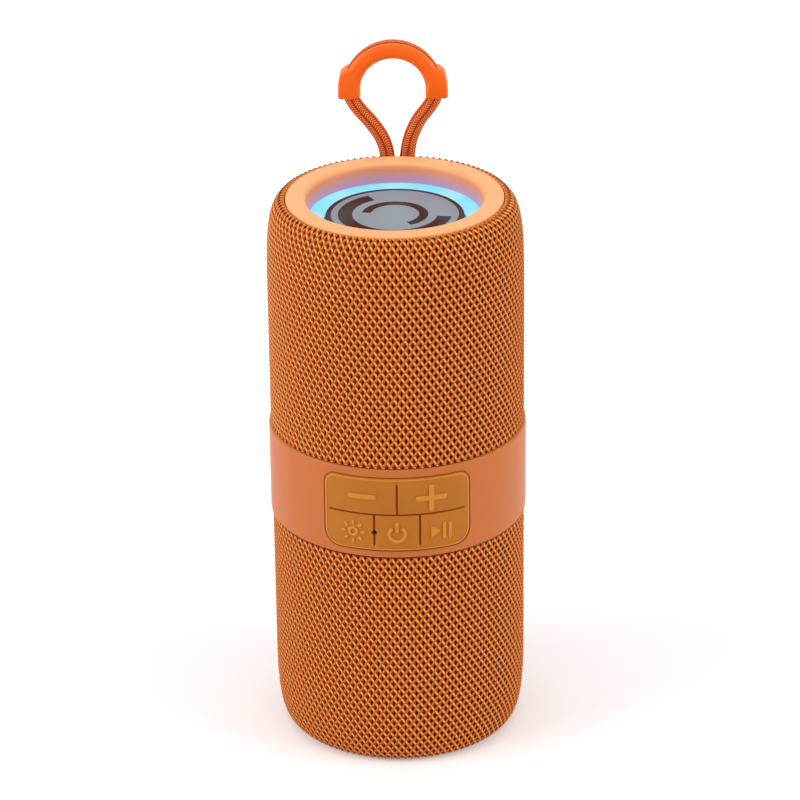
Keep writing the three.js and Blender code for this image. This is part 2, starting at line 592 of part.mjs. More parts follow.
// Built on its own axis, with +Z towards the listener and the front of its flange at zero.
function driver(side, prefix) {
  const group = new THREE.Group();
  group.position.set(0, BAFFLE_Y + BAFFLE_T + GAP, driverZ(side));
  group.rotation.x = Math.PI / 2;
  speaker.add(group);

  const mouth = DRIVER_R - 4.5;
  const basket = turned([
    [mouth, 0], [DRIVER_R, 0], [DRIVER_R, -1.2], [DRIVER_R - 2.6, -1.2], [MAGNET_R + 2, -11],
    [MAGNET_R + 2, -BASKET_DEPTH], [COIL_R + 1, -BASKET_DEPTH], [COIL_R + 1, -11.2], [MAGNET_R + 0.6, -11.2],
    [mouth, -2.6],
  ], DRIVER_ROUND);
  const vents = [
    block(both(5), both(DRIVER_R), [-9.5, -3]),
    block(both(DRIVER_R), both(5), [-9.5, -3]),
  ];
  add(group, prefix + '_driver_basket', cut(basket, ...vents), STEEL);

  const magnet = turned([
    [0, -MAGNET_DEPTH], [MAGNET_R, -MAGNET_DEPTH], [MAGNET_R, -BASKET_DEPTH - GAP],
    [COIL_R + 0.6, -BASKET_DEPTH - GAP], [COIL_R + 0.6, -19],
    [COIL_R - 1.4, -19], [COIL_R - 1.4, -11.5], [0, -11.5],
  ], DRIVER_ROUND);
  add(group, prefix + '_driver_magnet', magnet, STEEL);

  const rim = mouth - 2.9;
  const cone = turned([
    [0, -3.6], [4, -4.2], [COIL_R + 0.6, -5.8], [COIL_R + 1.4, -6], [rim, -1.2], [rim, -1.9],
    [COIL_R + 1.4, -6.8], [COIL_R, -6.9], [COIL_R, -16], [COIL_R - 0.8, -16], [COIL_R - 0.8, -6.6],
    [3.9, -4.9], [0, -4.3],
  ], DRIVER_ROUND);
  add(group, prefix + '_driver_cone', cone, CONE_PAPER);

  const surround = turned([
    [rim - 1.2, -0.9], [rim + 0.35, -0.9], [rim + 0.8, 0.1], [rim + 1.3, 0.35], [rim + 1.8, 0.1],
    [mouth - 0.7, -0.9], [mouth - GAP, -0.9], [rim + 2.1, 0.45], [rim + 1.3, 0.8], [rim + 0.5, 0.45],
    [rim, -0.5], [rim - 1.2, -0.5],
  ], DRIVER_ROUND);
  add(group, prefix + '_driver_surround', surround, RUBBER);
}

// ---- Lit ends ----

// Built with +Z outwards and the rim of the bezel at zero.
function end(prefix, place, turn) {
  const group = new THREE.Group();
  group.position.z = place;
  group.rotation.x = turn;
  speaker.add(group);

  const wallTop = BEZEL_WALL + 0.2;
  const bezel = turned([
    [BEZEL_R, -FRAME_DEPTH + GAP], [BEZEL_R, -0.5], [BEZEL_R - 0.5, 0], [BEZEL_INNER_R + 0.8, 0],
    [BEZEL_INNER_R, -0.8], [RECESS_R, -RECESS_DEPTH], [RECESS_R + 1.4, -RECESS_DEPTH],
    [BEZEL_INNER_R + 1.5, -wallTop], [BEZEL_R - BEZEL_WALL, -wallTop],
    [BEZEL_R - BEZEL_WALL, -FRAME_DEPTH + GAP],
  ], END_ROUND);
  add(group, prefix + '_bezel', bezel, BEZEL_PLASTIC);

  const lightInner = PLATE_R + PLATE_CLEARANCE;
  const lightBottom = -LIGHT_DEPTH - LIGHT_T - 0.8;
  const light = turned([
    [LED_BOARD_R, -LIGHT_DEPTH], [lightInner, -LIGHT_DEPTH - 0.8], [lightInner, lightBottom],
    [LED_BOARD_R - 1.5, lightBottom], [LED_BOARD_R - 1.5, -LED_BOARD_DEPTH + GAP],
    [LED_BOARD_R, -LED_BOARD_DEPTH + GAP],
  ], END_ROUND);
  add(group, prefix + '_light_ring', light, DIFFUSER);

  const boardInner = lightInner + 0.7;
  const ledR = (boardInner + LED_BOARD_R - 1.5) / 2;
  let board = tube(LED_BOARD_R, boardInner, -LED_BOARD_DEPTH - 1, -LED_BOARD_DEPTH, END_ROUND);
  for (let i = 0; i < LED_COUNT; i++) {
    const rise = [-LED_BOARD_DEPTH - BOARD_T / 4, -LED_BOARD_DEPTH + LED_RISE];
    const led = block(both(LED_SIZE / 2), both(LED_SIZE / 2), rise);
    board = board.add(led.translate([ledR, 0, 0]).rotate([0, 0, (360 * i) / LED_COUNT]));
  }
  add(group, prefix + '_led_board', board, BOARD_GREEN);

  const plate = turned([
    [0, -PLATE_DEPTH - PLATE_T], [PLATE_R, -PLATE_DEPTH - PLATE_T], [PLATE_R, -PLATE_DEPTH - 0.4],
    [PLATE_R - 0.4, -PLATE_DEPTH], [0, -PLATE_DEPTH],
  ], END_ROUND);
  add(group, prefix + '_radiator_plate', plate, PLATE_BROWN);

  const top = -SURROUND_DEPTH;
  const foot = top - SURROUND_HEIGHT;
  const surround = turned([
    [PLATE_R - 5.5, top], [PLATE_R - 1.2, top], [PLATE_R + 0.7, top - 1.9],
    [PLATE_R + 1.2, foot + SURROUND_T], [PLATE_R + 3.2, foot + SURROUND_T], [PLATE_R + 3.2, foot],
    [PLATE_R + 0.4, foot], [PLATE_R - 0.2, top - 2.2], [PLATE_R - 1.6, top - SURROUND_T],
    [PLATE_R - 5.5, top - SURROUND_T],
  ], END_ROUND);
  add(group, prefix + '_radiator_surround', surround, RUBBER);

  const upstand = BEZEL_R - BEZEL_WALL - GAP;
  const seatDepth = LED_BOARD_DEPTH + 1 + GAP;
  const frame = turned([
    [PLATE_R - 1, -FRAME_DEPTH - FRAME_T], [HOUSING_R - 0.5, -FRAME_DEPTH - FRAME_T],
    [HOUSING_R - 0.5, -FRAME_DEPTH], [upstand, -FRAME_DEPTH], [upstand, -LIGHT_DEPTH - 1.7],
    [LED_BOARD_R + GAP, -LIGHT_DEPTH - 1.7], [LED_BOARD_R + GAP, -seatDepth],
    [LED_BOARD_R - 1.8, -seatDepth], [LED_BOARD_R - 1.8, -FRAME_DEPTH], [PLATE_R - 1, -FRAME_DEPTH],
  ], END_ROUND);
  add(group, prefix + '_radiator_frame', frame, BLACK_PLASTIC);
}

// ---- Strap and its bracket ----

// The route of the cord, as [x, height above the pin] in the plane of the strap: up the left leg, round
// the arch and down the right leg, where it is held by the pin's two moulded ends.
const LEFT_LEG = [
  [-3.1, 6.3], [-3.05, 12], [-2.8, 18], [-2.8, 23.5], [-4.6, 29.2], [-8.6, 35], [-11.4, 38.3],
  [-13.5, 41.8],
];
const RIGHT_LEG = [
  [12.2, 41.8], [10.1, 38.3], [7.6, 35], [4.9, 29.2], [3.7, 23.5], [3.4, 18], [3.15, 12], [3.1, 6.3],
];

function cordRoute() {
  const arch = [];
  for (let degrees = 180; degrees >= 0; degrees -= 22.5) {
    const turn = THREE.MathUtils.degToRad(degrees);
    arch.push([GRIP_X + GRIP_ARCH_R * Math.cos(turn), GRIP_ARCH_RISE + GRIP_ARCH_R * Math.sin(turn)]);
  }
  const route = [...LEFT_LEG, ...arch, ...RIGHT_LEG];
  const points = route.map(([x, rise]) => new THREE.Vector3(x, STRAP_Y, STRAP_Z + rise));
  return new THREE.CatmullRomCurve3(points);
}

function cordTube(radius) {
  const section = new THREE.Shape();
  for (let i = 0; i < CORD_SIDES; i++) {
    const turn = (2 * Math.PI * i) / CORD_SIDES;
    const [x, y] = [radius * Math.cos(turn), radius * Math.sin(turn)];
    if (i) section.lineTo(x, y);
    else section.moveTo(x, y);
  }
  return solid(new THREE.ExtrudeGeometry(section, { steps: CORD_STEPS, extrudePath: cordRoute() }));
}

function gripOutline() {
  const shape = new THREE.Shape();
  const shoulderTurn = Math.asin((GRIP_SHOULDER_Z - GRIP_ARCH_Z) / GRIP_OUTER_R);
  shape.moveTo(GRIP_X + GRIP_HALF_WIDTH, GRIP_FOOT_Z);
  shape.lineTo(GRIP_X + GRIP_HALF_WIDTH, GRIP_FOOT_Z + 5);
  shape.lineTo(GRIP_X + GRIP_HALF_WIDTH - 1.4, GRIP_SHOULDER_Z - 1);
  shape.absarc(GRIP_X, GRIP_ARCH_Z, GRIP_OUTER_R, shoulderTurn, Math.PI - shoulderTurn);
  shape.lineTo(GRIP_X - GRIP_HALF_WIDTH + 1.4, GRIP_SHOULDER_Z - 1);
  shape.lineTo(GRIP_X - GRIP_HALF_WIDTH, GRIP_FOOT_Z + 5);
  shape.lineTo(GRIP_X - GRIP_HALF_WIDTH, GRIP_FOOT_Z);
  shape.lineTo(GRIP_X - GRIP_INNER_R, GRIP_FOOT_Z);
  shape.absarc(GRIP_X, GRIP_ARCH_Z, GRIP_INNER_R, Math.PI, 0, true);
  shape.lineTo(GRIP_X + GRIP_INNER_R, GRIP_FOOT_Z);
  return shape;
}

function bracket() {
  const [innerX, outerX] = [SLOT_INNER_X, SLOT_OUTER_X];
  const reach = [HOUSING_R - 8, BRACKET_R + 2];
  const low = STRAP_Z - BRACKET_HEIGHT;
  const high = STRAP_Z + BRACKET_HEIGHT;
  const neck = tube(FABRIC_R + 0.8, BAND_INNER_R, low, high)
    .intersect(prismY(panel(NECK_WIDTH, NECK_HEIGHT, 2, 2, STRAP_Z), reach));
  const flange = tube(BRACKET_R, FABRIC_R + GAP, low, high)
    .intersect(prismY(panel(BRACKET_WIDTH, BRACKET_HEIGHT, 3, 3, STRAP_Z), reach));
  const cheekR = EYE_R + 0.4;
  const tine = new THREE.Shape();
  tine.moveTo(BRACKET_SLOT_Y - 0.5, STRAP_Z - cheekR);
  tine.lineTo(STRAP_Y, STRAP_Z - cheekR);
  tine.absarc(STRAP_Y, STRAP_Z, cheekR, -Math.PI / 2, Math.PI / 2);
  tine.lineTo(BRACKET_SLOT_Y - 0.5, STRAP_Z + cheekR);
  const slot = (x) => block(x, [BRACKET_SLOT_Y, BRACKET_R + 2], [low, high]);
  const plate = cut(neck.add(flange), slot([innerX, outerX]), slot([-outerX, -innerX]));
  const body = joined(
    plate, prismX(tine, both(innerX)), prismX(tine, [outerX, outerX + CHEEK_T]),
    prismX(tine, [-outerX - CHEEK_T, -outerX]));
  return body.subtract(bar('x', PIN_R + GAP, both(outerX + CHEEK_T + 1), [STRAP_Y, STRAP_Z]));
}

function strap() {
  add(speaker, 'strap_bracket', bracket(), BAND_PLASTIC);
  const pinReach = both(SLOT_OUTER_X + CHEEK_T - 0.2);
  add(speaker, 'strap_pin', bar('x', PIN_R, pinReach, [STRAP_Y, STRAP_Z]), STEEL);
  const eyeHalf = (SLOT_OUTER_X - SLOT_INNER_X) / 2 - GAP;
  for (const [name, side] of [['left_strap_end', -1], ['right_strap_end', 1]]) {
    const x = (side * STRAP_PITCH) / 2;
    const eye = bar('x', EYE_R, [x - eyeHalf, x + eyeHalf], [STRAP_Y, STRAP_Z]);
    const stub = bar('z', CORD_R, [STRAP_Z, STRAP_Z + END_LENGTH], [x, STRAP_Y]);
    const hole = bar('x', PIN_R + GAP, both(SLOT_OUTER_X), [STRAP_Y, STRAP_Z]);
    add(speaker, name, eye.add(stub).subtract(hole), GRIP_PLASTIC);
  }
  add(speaker, 'strap_cord', cordTube(CORD_R), CORD_BRAID);
  const depth = [STRAP_Y - GRIP_DEPTH / 2, STRAP_Y + GRIP_DEPTH / 2];
  const grip = prismY(gripOutline(), depth, 8).subtract(cordTube(CORD_R + GAP));
  add(speaker, 'strap_grip', grip, GRIP_PLASTIC);
}

sleeves();
band();
keypad();
controls();
housing();
power();
sockets();
flap();
driver(1, 'upper');
driver(-1, 'lower');
end('top', HEIGHT, 0);
end('bottom', 0, Math.PI);
strap();

export default speaker;
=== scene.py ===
# %% [markdown]
# # A portable speaker in knit fabric
#
# This lesson dresses a finished mechanical model of a cylindrical speaker: two knit sleeves, a plain
# band with a keypad, a lit ring and a metal disc at each end, and a braided strap with a moulded grip.
# The mechanical model is loaded first and stays where it is. Every piece made here either stands for
# one of its nodes or gives a node its finish, and rides on the body that the node belongs to.

# %% Load the mechanical model
import math
from functools import partial

import bmesh
import bpy
import numpy as np
from mathutils import Matrix, Vector


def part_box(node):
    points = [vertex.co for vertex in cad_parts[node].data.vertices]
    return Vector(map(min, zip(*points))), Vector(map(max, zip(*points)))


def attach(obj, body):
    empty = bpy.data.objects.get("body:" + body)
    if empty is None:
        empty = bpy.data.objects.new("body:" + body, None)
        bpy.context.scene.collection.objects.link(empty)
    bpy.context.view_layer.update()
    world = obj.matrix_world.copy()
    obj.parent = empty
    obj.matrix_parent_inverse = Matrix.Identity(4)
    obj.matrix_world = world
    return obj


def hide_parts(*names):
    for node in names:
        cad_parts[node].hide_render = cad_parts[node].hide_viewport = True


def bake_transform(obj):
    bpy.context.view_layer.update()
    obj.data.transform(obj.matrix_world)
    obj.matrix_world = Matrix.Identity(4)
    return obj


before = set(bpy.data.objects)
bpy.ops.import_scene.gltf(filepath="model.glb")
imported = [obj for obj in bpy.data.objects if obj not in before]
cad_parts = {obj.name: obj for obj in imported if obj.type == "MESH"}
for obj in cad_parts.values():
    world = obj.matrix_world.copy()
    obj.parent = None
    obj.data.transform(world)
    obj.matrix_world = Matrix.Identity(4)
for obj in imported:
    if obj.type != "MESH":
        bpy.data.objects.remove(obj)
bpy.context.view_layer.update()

MM = 0.001
print("nodes in the model:", len(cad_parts))

# %% [markdown]
# The driving sizes are read from the model, so a piece made here follows the node it stands for. The
# band gives the largest radius, the knit sleeve gives its own radius and the bezel gives the rim.

# %% Sizes read from the model, in millimetres
def size_of(node):
    """Lowest and highest corner of a node, in millimetres."""
    low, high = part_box(node)
    return low / MM, high / MM


band_low, band_high = size_of("mid_band")
BAND_R = band_high.x
FABRIC_R = size_of("upper_fabric_sleeve")[1].x
BEZEL_R = size_of("top_bezel")[1].x
HEIGHT = size_of("top_bezel")[1].z
PLATE_R = size_of("top_radiator_plate")[1].x
SLEEVE_LOW = size_of("upper_fabric_sleeve")[0].z
PIN_Z = (size_of("strap_pin")[0].z + size_of("strap_pin")[1].z) / 2
STRAP_Y = (size_of("strap_grip")[0].y + size_of("strap_grip")[1].y) / 2
MID_Z = HEIGHT / 2
print("band radius", round(BAND_R, 2), "height", round(HEIGHT, 2), "pin at", round(PIN_Z, 2))

# %% [markdown]
# ## Camera
#
# A long lens from a metre away keeps the cylinder's sides almost parallel. The camera looks down at
# about 25 degrees, a little from the left of the keypad's centre, and is rolled by under a degree.

# %% The camera
CAMERA_AT = Vector((14.5, -1084.9, 607.6)) * MM
CAMERA_TARGET = Vector((0.85, 0.0, 108.55)) * MM
CAMERA_ROLL = -0.0126
LENS = 172.74

camera = bpy.data.objects.new("camera", bpy.data.cameras.new("camera"))
bpy.context.scene.collection.objects.link(camera)
camera.data.lens = LENS
camera.data.sensor_width = 36
camera.data.clip_start = 0.05
camera.data.clip_end = 50
gaze = (CAMERA_TARGET - CAMERA_AT).normalized()
side = gaze.cross(Vector((0, 0, 1))).normalized()
above = side.cross(gaze)
level = Matrix((side, above, -gaze)).transposed()
camera.matrix_world = (
    Matrix.Translation(CAMERA_AT) @ (level @ Matrix.Rotation(CAMERA_ROLL, 3, "Z")).to_4x4()
)
bpy.context.scene.camera = camera
print("camera at", [round(c, 3) for c in camera.location])

# %% [markdown]
# ## Helpers for shapes
#
# Most of this product is turned or moulded. A turned piece starts as a closed profile that is spun
# round the Z axis. Corners of a profile are rounded by arcs before it is spun, as a mould is.

# %% Rounding the corners of an outline
def filleted(corners, steps=5):
    """Points of an outline whose corners, given as (x, y, radius), are rounded by arcs."""
    points = []
    for i, (x, y, radius) in enumerate(corners):
        here = Vector((x, y))
        if not radius:
            points.append(here)
            continue
        back = (Vector(corners[i - 1][:2]) - here).normalized()
        ahead = (Vector(corners[(i + 1) % len(corners)][:2]) - here).normalized()
        half = back.angle(ahead) / 2
        centre = here + (back + ahead).normalized() * (radius / math.sin(half))
        start = here + back * (radius / math.tan(half)) - centre
        end = here + ahead * (radius / math.tan(half)) - centre
        sweep = math.atan2(start.x * end.y - start.y * end.x, start.dot(end))
        for step in range(steps + 1):
            points.append(centre + Matrix.Rotation(sweep * step / steps, 2) @ start)
    return points


# %% Small steps on meshes and objects
def in_scene(name, data):
    """A new object in the scene that holds a mesh or a lamp."""
    thing = bpy.data.objects.new(name, data)
    bpy.context.scene.collection.objects.link(thing)
    return thing


def mesh_of(name, bm):
    """A new mesh from a bmesh, which is used up."""
    mesh = bpy.data.meshes.new(name)
    bm.to_mesh(mesh)
    bm.free()
    return mesh


def made_by(result, kind=bmesh.types.BMVert):
    """The new points, or the new edges, in what an extrusion gives back."""
    return [item for item in result["geom"] if isinstance(item, kind)]


def closed_loop(bm, verts):
    """Edges from each point to the next and back to the first."""
    return [bm.edges.new(pair) for pair in zip(verts, verts[1:] + verts[:1])]


def spun(bm, geom, angle, steps, **options):
    """Turns points, edges or faces round the Z axis."""
    bmesh.ops.spin(
        bm, geom=geom, cent=(0, 0, 0), axis=(0, 0, 1), angle=angle, steps=steps, **options)


def shifted(bm, vec):
    """Moves a whole shape by `vec`, in metres."""
    bmesh.ops.translate(bm, verts=bm.verts, vec=vec)
    return bm


def quarter_turn(bm, axis):
    """Turns a whole shape by 90 degrees about an axis of the origin."""
    bmesh.ops.rotate(bm, verts=bm.verts, matrix=Matrix.Rotation(math.pi / 2, 3, axis))


# %% Turning a profile, and making an object from a bmesh
def clean(bm, recalc=True):
    """Merges doubles and points the faces outwards."""
    bmesh.ops.remove_doubles(bm, verts=bm.verts, dist=1e-6)
    if recalc:
        bmesh.ops.recalc_face_normals(bm, faces=bm.faces)
    return bm


def turned(profile, sides=160):
    """Spins a closed profile of (radius, height) points, in millimetres, round the Z axis."""
    bm = bmesh.new()
    verts = [bm.verts.new((r * MM, 0, z * MM)) for r, z in profile]
    spun(bm, verts + closed_loop(bm, verts), 2 * math.pi, sides, use_merge=True)
    return clean(bm)


def finished(name, shape, material, body, nodes=(), sharp=35):
    """Makes the object, smooth but for edges sharper than `sharp` degrees, and puts it on its body.

    Without a body it is left unattached.
    """
    mesh = mesh_of(name, shape) if isinstance(shape, bmesh.types.BMesh) else shape
    mesh.shade_smooth()
    mesh.set_sharp_from_angle(angle=math.radians(sharp))
    mesh.materials.append(material)
    piece = in_scene(name, mesh)
    if body:
        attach(piece, body)
    if nodes:
        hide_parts(*nodes)
    print(f"{name}: {len(mesh.polygons)} faces")
    return piece


# %% [markdown]
# A moulded panel that follows the cylinder is easiest to make flat. Its outline is drawn in arc length
# and height, given a thickness, rounded along its rim, cut into narrow strips, and then bent.

# %% Flat panels, and bending them round the cylinder
def eased(bm, edges, width, segments=3):
    """Rounds some edges of a shape, by a bevel `width` millimetres wide."""
    bmesh.ops.bevel(
        bm, geom=edges, offset=width * MM, offset_type="OFFSET", segments=segments, profile=0.5,
        affect="EDGES", material=-1, clamp_overlap=True)
    return bm


def outline_edges(bm):
    """The edges round the front and the back of a flat plate, without those through its thickness."""
    return [e for e in bm.edges if abs(e.verts[0].co.y - e.verts[1].co.y) < 1e-7]


def rim_edges(bm, front):
    """The edges round the front face of a flat piece whose front lies at depth `front`."""
    y = -front * MM
    return [
        e for e in bm.edges
        if all(abs(v.co.y - y) < 1e-7 for v in e.verts)
        and abs(e.link_faces[0].normal.y - e.link_faces[1].normal.y) > 0.5
    ]


def thickened(bm, rear, front, back):
    """Extrudes flat faces that lie at depth `back` forwards to `front`. Returns the new points."""
    fronts = made_by(bmesh.ops.extrude_face_region(bm, geom=rear))
    bmesh.ops.translate(bm, verts=fronts, vec=(0, (back - front) * MM, 0))
    bmesh.ops.recalc_face_normals(bm, faces=bm.faces)
    return fronts


def panel(outline, front, back, rim=0, segments=3):
    """A flat plate from depth `back` to `front`, in millimetres, with its front rim rounded by `rim`.

    The outline is in X and Z and the front faces -Y.
    """
    bm = bmesh.new()
    verts = [bm.verts.new((x * MM, -back * MM, z * MM)) for x, z in outline]
    faced = set(thickened(bm, [bm.faces.new(verts)], front, back))
    if rim:
        eased(bm, [e for e in bm.edges if faced.issuperset(e.verts)], rim, segments)
    return bm


STRIP = 1.2 * MM


def strips(bm):
    """Cuts a flat piece into upright strips, so that it can bend."""
    places = [v.co.x for v in bm.verts]
    for i in range(math.ceil(min(places) / STRIP), math.floor(max(places) / STRIP) + 1):
        bmesh.ops.bisect_plane(
            bm, geom=bm.verts[:] + bm.edges[:] + bm.faces[:], plane_co=(i * STRIP, 0, 0),
            plane_no=(1, 0, 0), dist=1e-7)


def bent(bm, radius, behind=False, straight=False):
    """Wraps a flat piece round the Z axis, its Y = 0 plane at `radius` millimetres.

    A `straight` piece keeps its sides along Y, so that it can be pressed inwards beside others.
    """
    strips(bm)
    facing = 1 if behind else -1
    for vert in bm.verts:
        turn = vert.co.x / (radius * MM)
        depth = vert.co.y
        reach = radius * MM if straight else radius * MM - depth
        vert.co.x = -facing * reach * math.sin(turn)
        vert.co.y = facing * (reach * math.cos(turn) - (depth if straight else 0))
    return bm


def joined(*parts):
    """Puts several bmeshes into the first one."""
    first, *rest = parts
    for part in rest:
        scratch = mesh_of("scratch", part)
        first.from_mesh(scratch)
        bpy.data.meshes.remove(scratch)
    return first


# %% [markdown]
# ## Helpers for finishes
#
# Colours are written as they are seen, in sRGB hex, and turned to the linear values that shaders use.
# One function adds a shader node and gives back the output that is wanted. A pattern's scale is a real
# length: objects are in metres, so a feature of so many millimetres needs a scale of 1000 over that.

# %% Colours and shader nodes
# Settings that many nodes share: mixing colours, and easing in and out of a range
IN_COLOUR = {"out": 2, "data_type": "RGBA"}
SMOOTH = {"interpolation_type": "SMOOTHSTEP"}


def linear(hex_colour):
    """An sRGB hex colour as the linear RGBA that shaders use."""
    parts = [int(hex_colour[i:i + 2], 16) / 255 for i in (1, 3, 5)]
    return (*[c / 12.92 if c <= 0.04045 else ((c + 0.055) / 1.055) ** 2.4 for c in parts], 1.0)


def per_mm(length):
    """The texture scale whose features are about `length` millimetres."""
    return 1000 / length


def add_node(owner, kind, inputs=None, out=0, **settings):
    """Adds one shader node to a material or world, and returns its output `out`.

    The kind "Math" is ShaderNodeMath, for one. An input is a value, a hex colour, or the output of
    another node, which is linked.
    """
    node = owner.node_tree.nodes.new("ShaderNode" + kind)
    for name, value in settings.items():
        setattr(node, name, value)
    for socket, value in (inputs or {}).items():
        if isinstance(value, bpy.types.NodeSocket):
            owner.node_tree.links.new(value, node.inputs[socket])
        else:
            node.inputs[socket].default_value = linear(value) if isinstance(value, str) else value
    return node.outputs[out]


def start_material(name, colour, roughness, **constants):
    """A material whose constants are set on its shader's own sockets, such as Coat_Weight."""
    material = bpy.data.materials.new(name)
    material.use_nodes = True
    material.diffuse_color = linear(colour)
    sockets = material.node_tree.nodes["Principled BSDF"].inputs
    sockets["Base Color"].default_value = linear(colour)
    sockets["Roughness"].default_value = roughness
    for socket, value in constants.items():
        sockets[socket.replace("_", " ")].default_value = value
    return material


def from_axis(material, place):
    """The X and the Y of a place, and its distance from the Z axis."""
    x = add_node(material, "SeparateXYZ", {0: place}, out="X")
    y = add_node(material, "SeparateXYZ", {0: place}, out="Y")
    flat = add_node(material, "CombineXYZ", {"X": x, "Y": y})
    radius = add_node(material, "VectorMath", {0: flat}, out="Value", operation="LENGTH")
    return x, y, radius


def feed(material, **outputs):
    """Links outputs to the shader, such as Base_Color=colour or Normal=relief."""
    sockets = material.node_tree.nodes["Principled BSDF"].inputs
    for socket, output in outputs.items():
        material.node_tree.links.new(output, sockets[socket.replace("_", " ")])
    return material


# %% [markdown]
# ## Materials
#
# Each finish starts from what the real one is: its common name and how its surface was made.

# %% Moulded plastics and rubbers
def moulded(name, colour, shade, roughness, grain_mm, grain_depth, **constants):
    """A moulded surface: an even colour with slow drift, and the fine grain of a spark-eroded mould."""
    material = start_material(name, colour, roughness, **{"Specular_IOR_Level": 0.22, **constants})
    node = partial(add_node, material)
    place = node("TexCoord", out="Object")
    drift = node("TexNoise", {"Vector": place, "Scale": per_mm(9), "Detail": 2.0})
    tone = node("Mix", {0: drift, 6: shade, 7: colour}, **IN_COLOUR)
    grain = node("TexNoise", {"Vector": place, "Scale": per_mm(grain_mm), "Detail": 3.0})
    gloss = node("MapRange", {"Value": grain, 3: roughness - 0.06, 4: roughness + 0.06})
    relief = node("Bump", {"Height": grain, "Distance": grain_depth * MM, "Strength": 0.35})
    return feed(material, Base_Color=tone, Roughness=gloss, Normal=relief)


# ABS, spark-textured: an even, satin skin that keeps a soft broad highlight
band_abs = moulded("band_satin_abs", "#CB7238", "#C36A31", 0.42, 0.35, 0.006)
# Silicone rubber: matt and slightly dusty, so its edges catch light rather than shine
key_silicone = moulded("keypad_silicone", "#BF731E", "#B86C1A", 0.55, 0.3, 0.008)
# Lighter silicone for the raised symbols; on the pad's raised rim the same lighter colour is a painted
# highlight
symbol_and_rim_highlight_silicone = moulded("raised_symbol_and_rim_highlight", "#D48C34", "#CE852E", 0.5, 0.3, 0.006)
# The same silicone in a darker brown, for the real mat behind the keys, which shows only as lines
# between them and round the pad: the darker brown is painted shade for those grooves and gaps
mat_shade_silicone = moulded("dark_mat_as_painted_shade", "#A04412", "#98400F", 0.6, 0.3, 0.008)
# Thermoplastic polyurethane: saturated, with a soft sheen and a little light inside it
grip_tpu = moulded(
    "grip_tpu", "#FF6E12", "#FF650C", 0.36, 0.4, 0.005, Subsurface_Weight=0.15,
    Subsurface_Radius=(1.0, 0.4, 0.1), Subsurface_Scale=1.2 * MM)
# ABS again, black and spark-textured, for what lies inside
black_abs = moulded("black_abs", "#1E1C1B", "#171514", 0.5, 0.4, 0.01)
# Butyl rubber: very dark and matt
butyl_rubber = moulded("butyl_rubber", "#1B1918", "#141211", 0.7, 0.5, 0.01)
# The mouth of the microphone: a black plug in its hole, painted shade for the unlit hole, without gloss
mic_hole_painted_shade = moulded("mic_hole_painted_shade", "#060504", "#040303", 0.9, 0.5, 0.01, Specular_IOR_Level=0.0)
# Pressed and coated paper: dark grey with visible fibres
cone_paper = moulded("coated_cone_paper", "#262422", "#1C1A19", 0.75, 0.8, 0.05)
# Heat-shrunk PVC: thin and glossy over the cell
cell_wrap = moulded("shrunk_pvc", "#2C66A6", "#275C98", 0.28, 1.5, 0.01, Coat_Weight=0.4)
# Glass-epoxy board under solder mask: glossy green over a faint weave
solder_mask = moulded("solder_mask", "#1B5A34", "#174E2D", 0.32, 0.6, 0.008, Coat_Weight=0.3)

# %% Metals
def brushed_metal(name, colour, roughness, stretch, line_mm):
    """A bare metal whose fine lines run across the short side of `stretch`."""
    material = start_material(name, colour, roughness, Metallic=1.0)
    node = partial(add_node, material)
    place = node("TexCoord", out="Object")
    along = node("Mapping", {"Vector": place, "Scale": stretch})
    lines = node("TexNoise", {"Vector": along, "Scale": per_mm(line_mm), "Detail": 4.0})
    gloss = node("MapRange", {"Value": lines, 3: roughness - 0.08, 4: roughness + 0.1})
    relief = node("Bump", {"Height": lines, "Distance": 0.01 * MM, "Strength": 0.3})
    return feed(material, Roughness=gloss, Normal=relief)


# Zinc-plated steel, pressed or turned: cool grey with fine drawing lines
zinc_steel = brushed_metal("zinc_plated_steel", "#B9BCC0", 0.32, (1, 1, 0.15), 0.3)

# %% The bezel: TPU with painted light and shade on its inner wall
# A bezel's inner wall is lit from its foot by the ring below it. That light is painted on the wall: a
# darker orange just inside the lip is painted shade, and deeper down a mauve base colour and a faint
# bluish emission, which fades out towards the rim, are painted light from the ring.
BEZEL_INNER_R = BEZEL_R - 6
RECESS_DEPTH = 6.2
# The colour of the painted glow from the ring on the bezel's wall
PAINTED_RING_GLOW = "#4A4C8C"


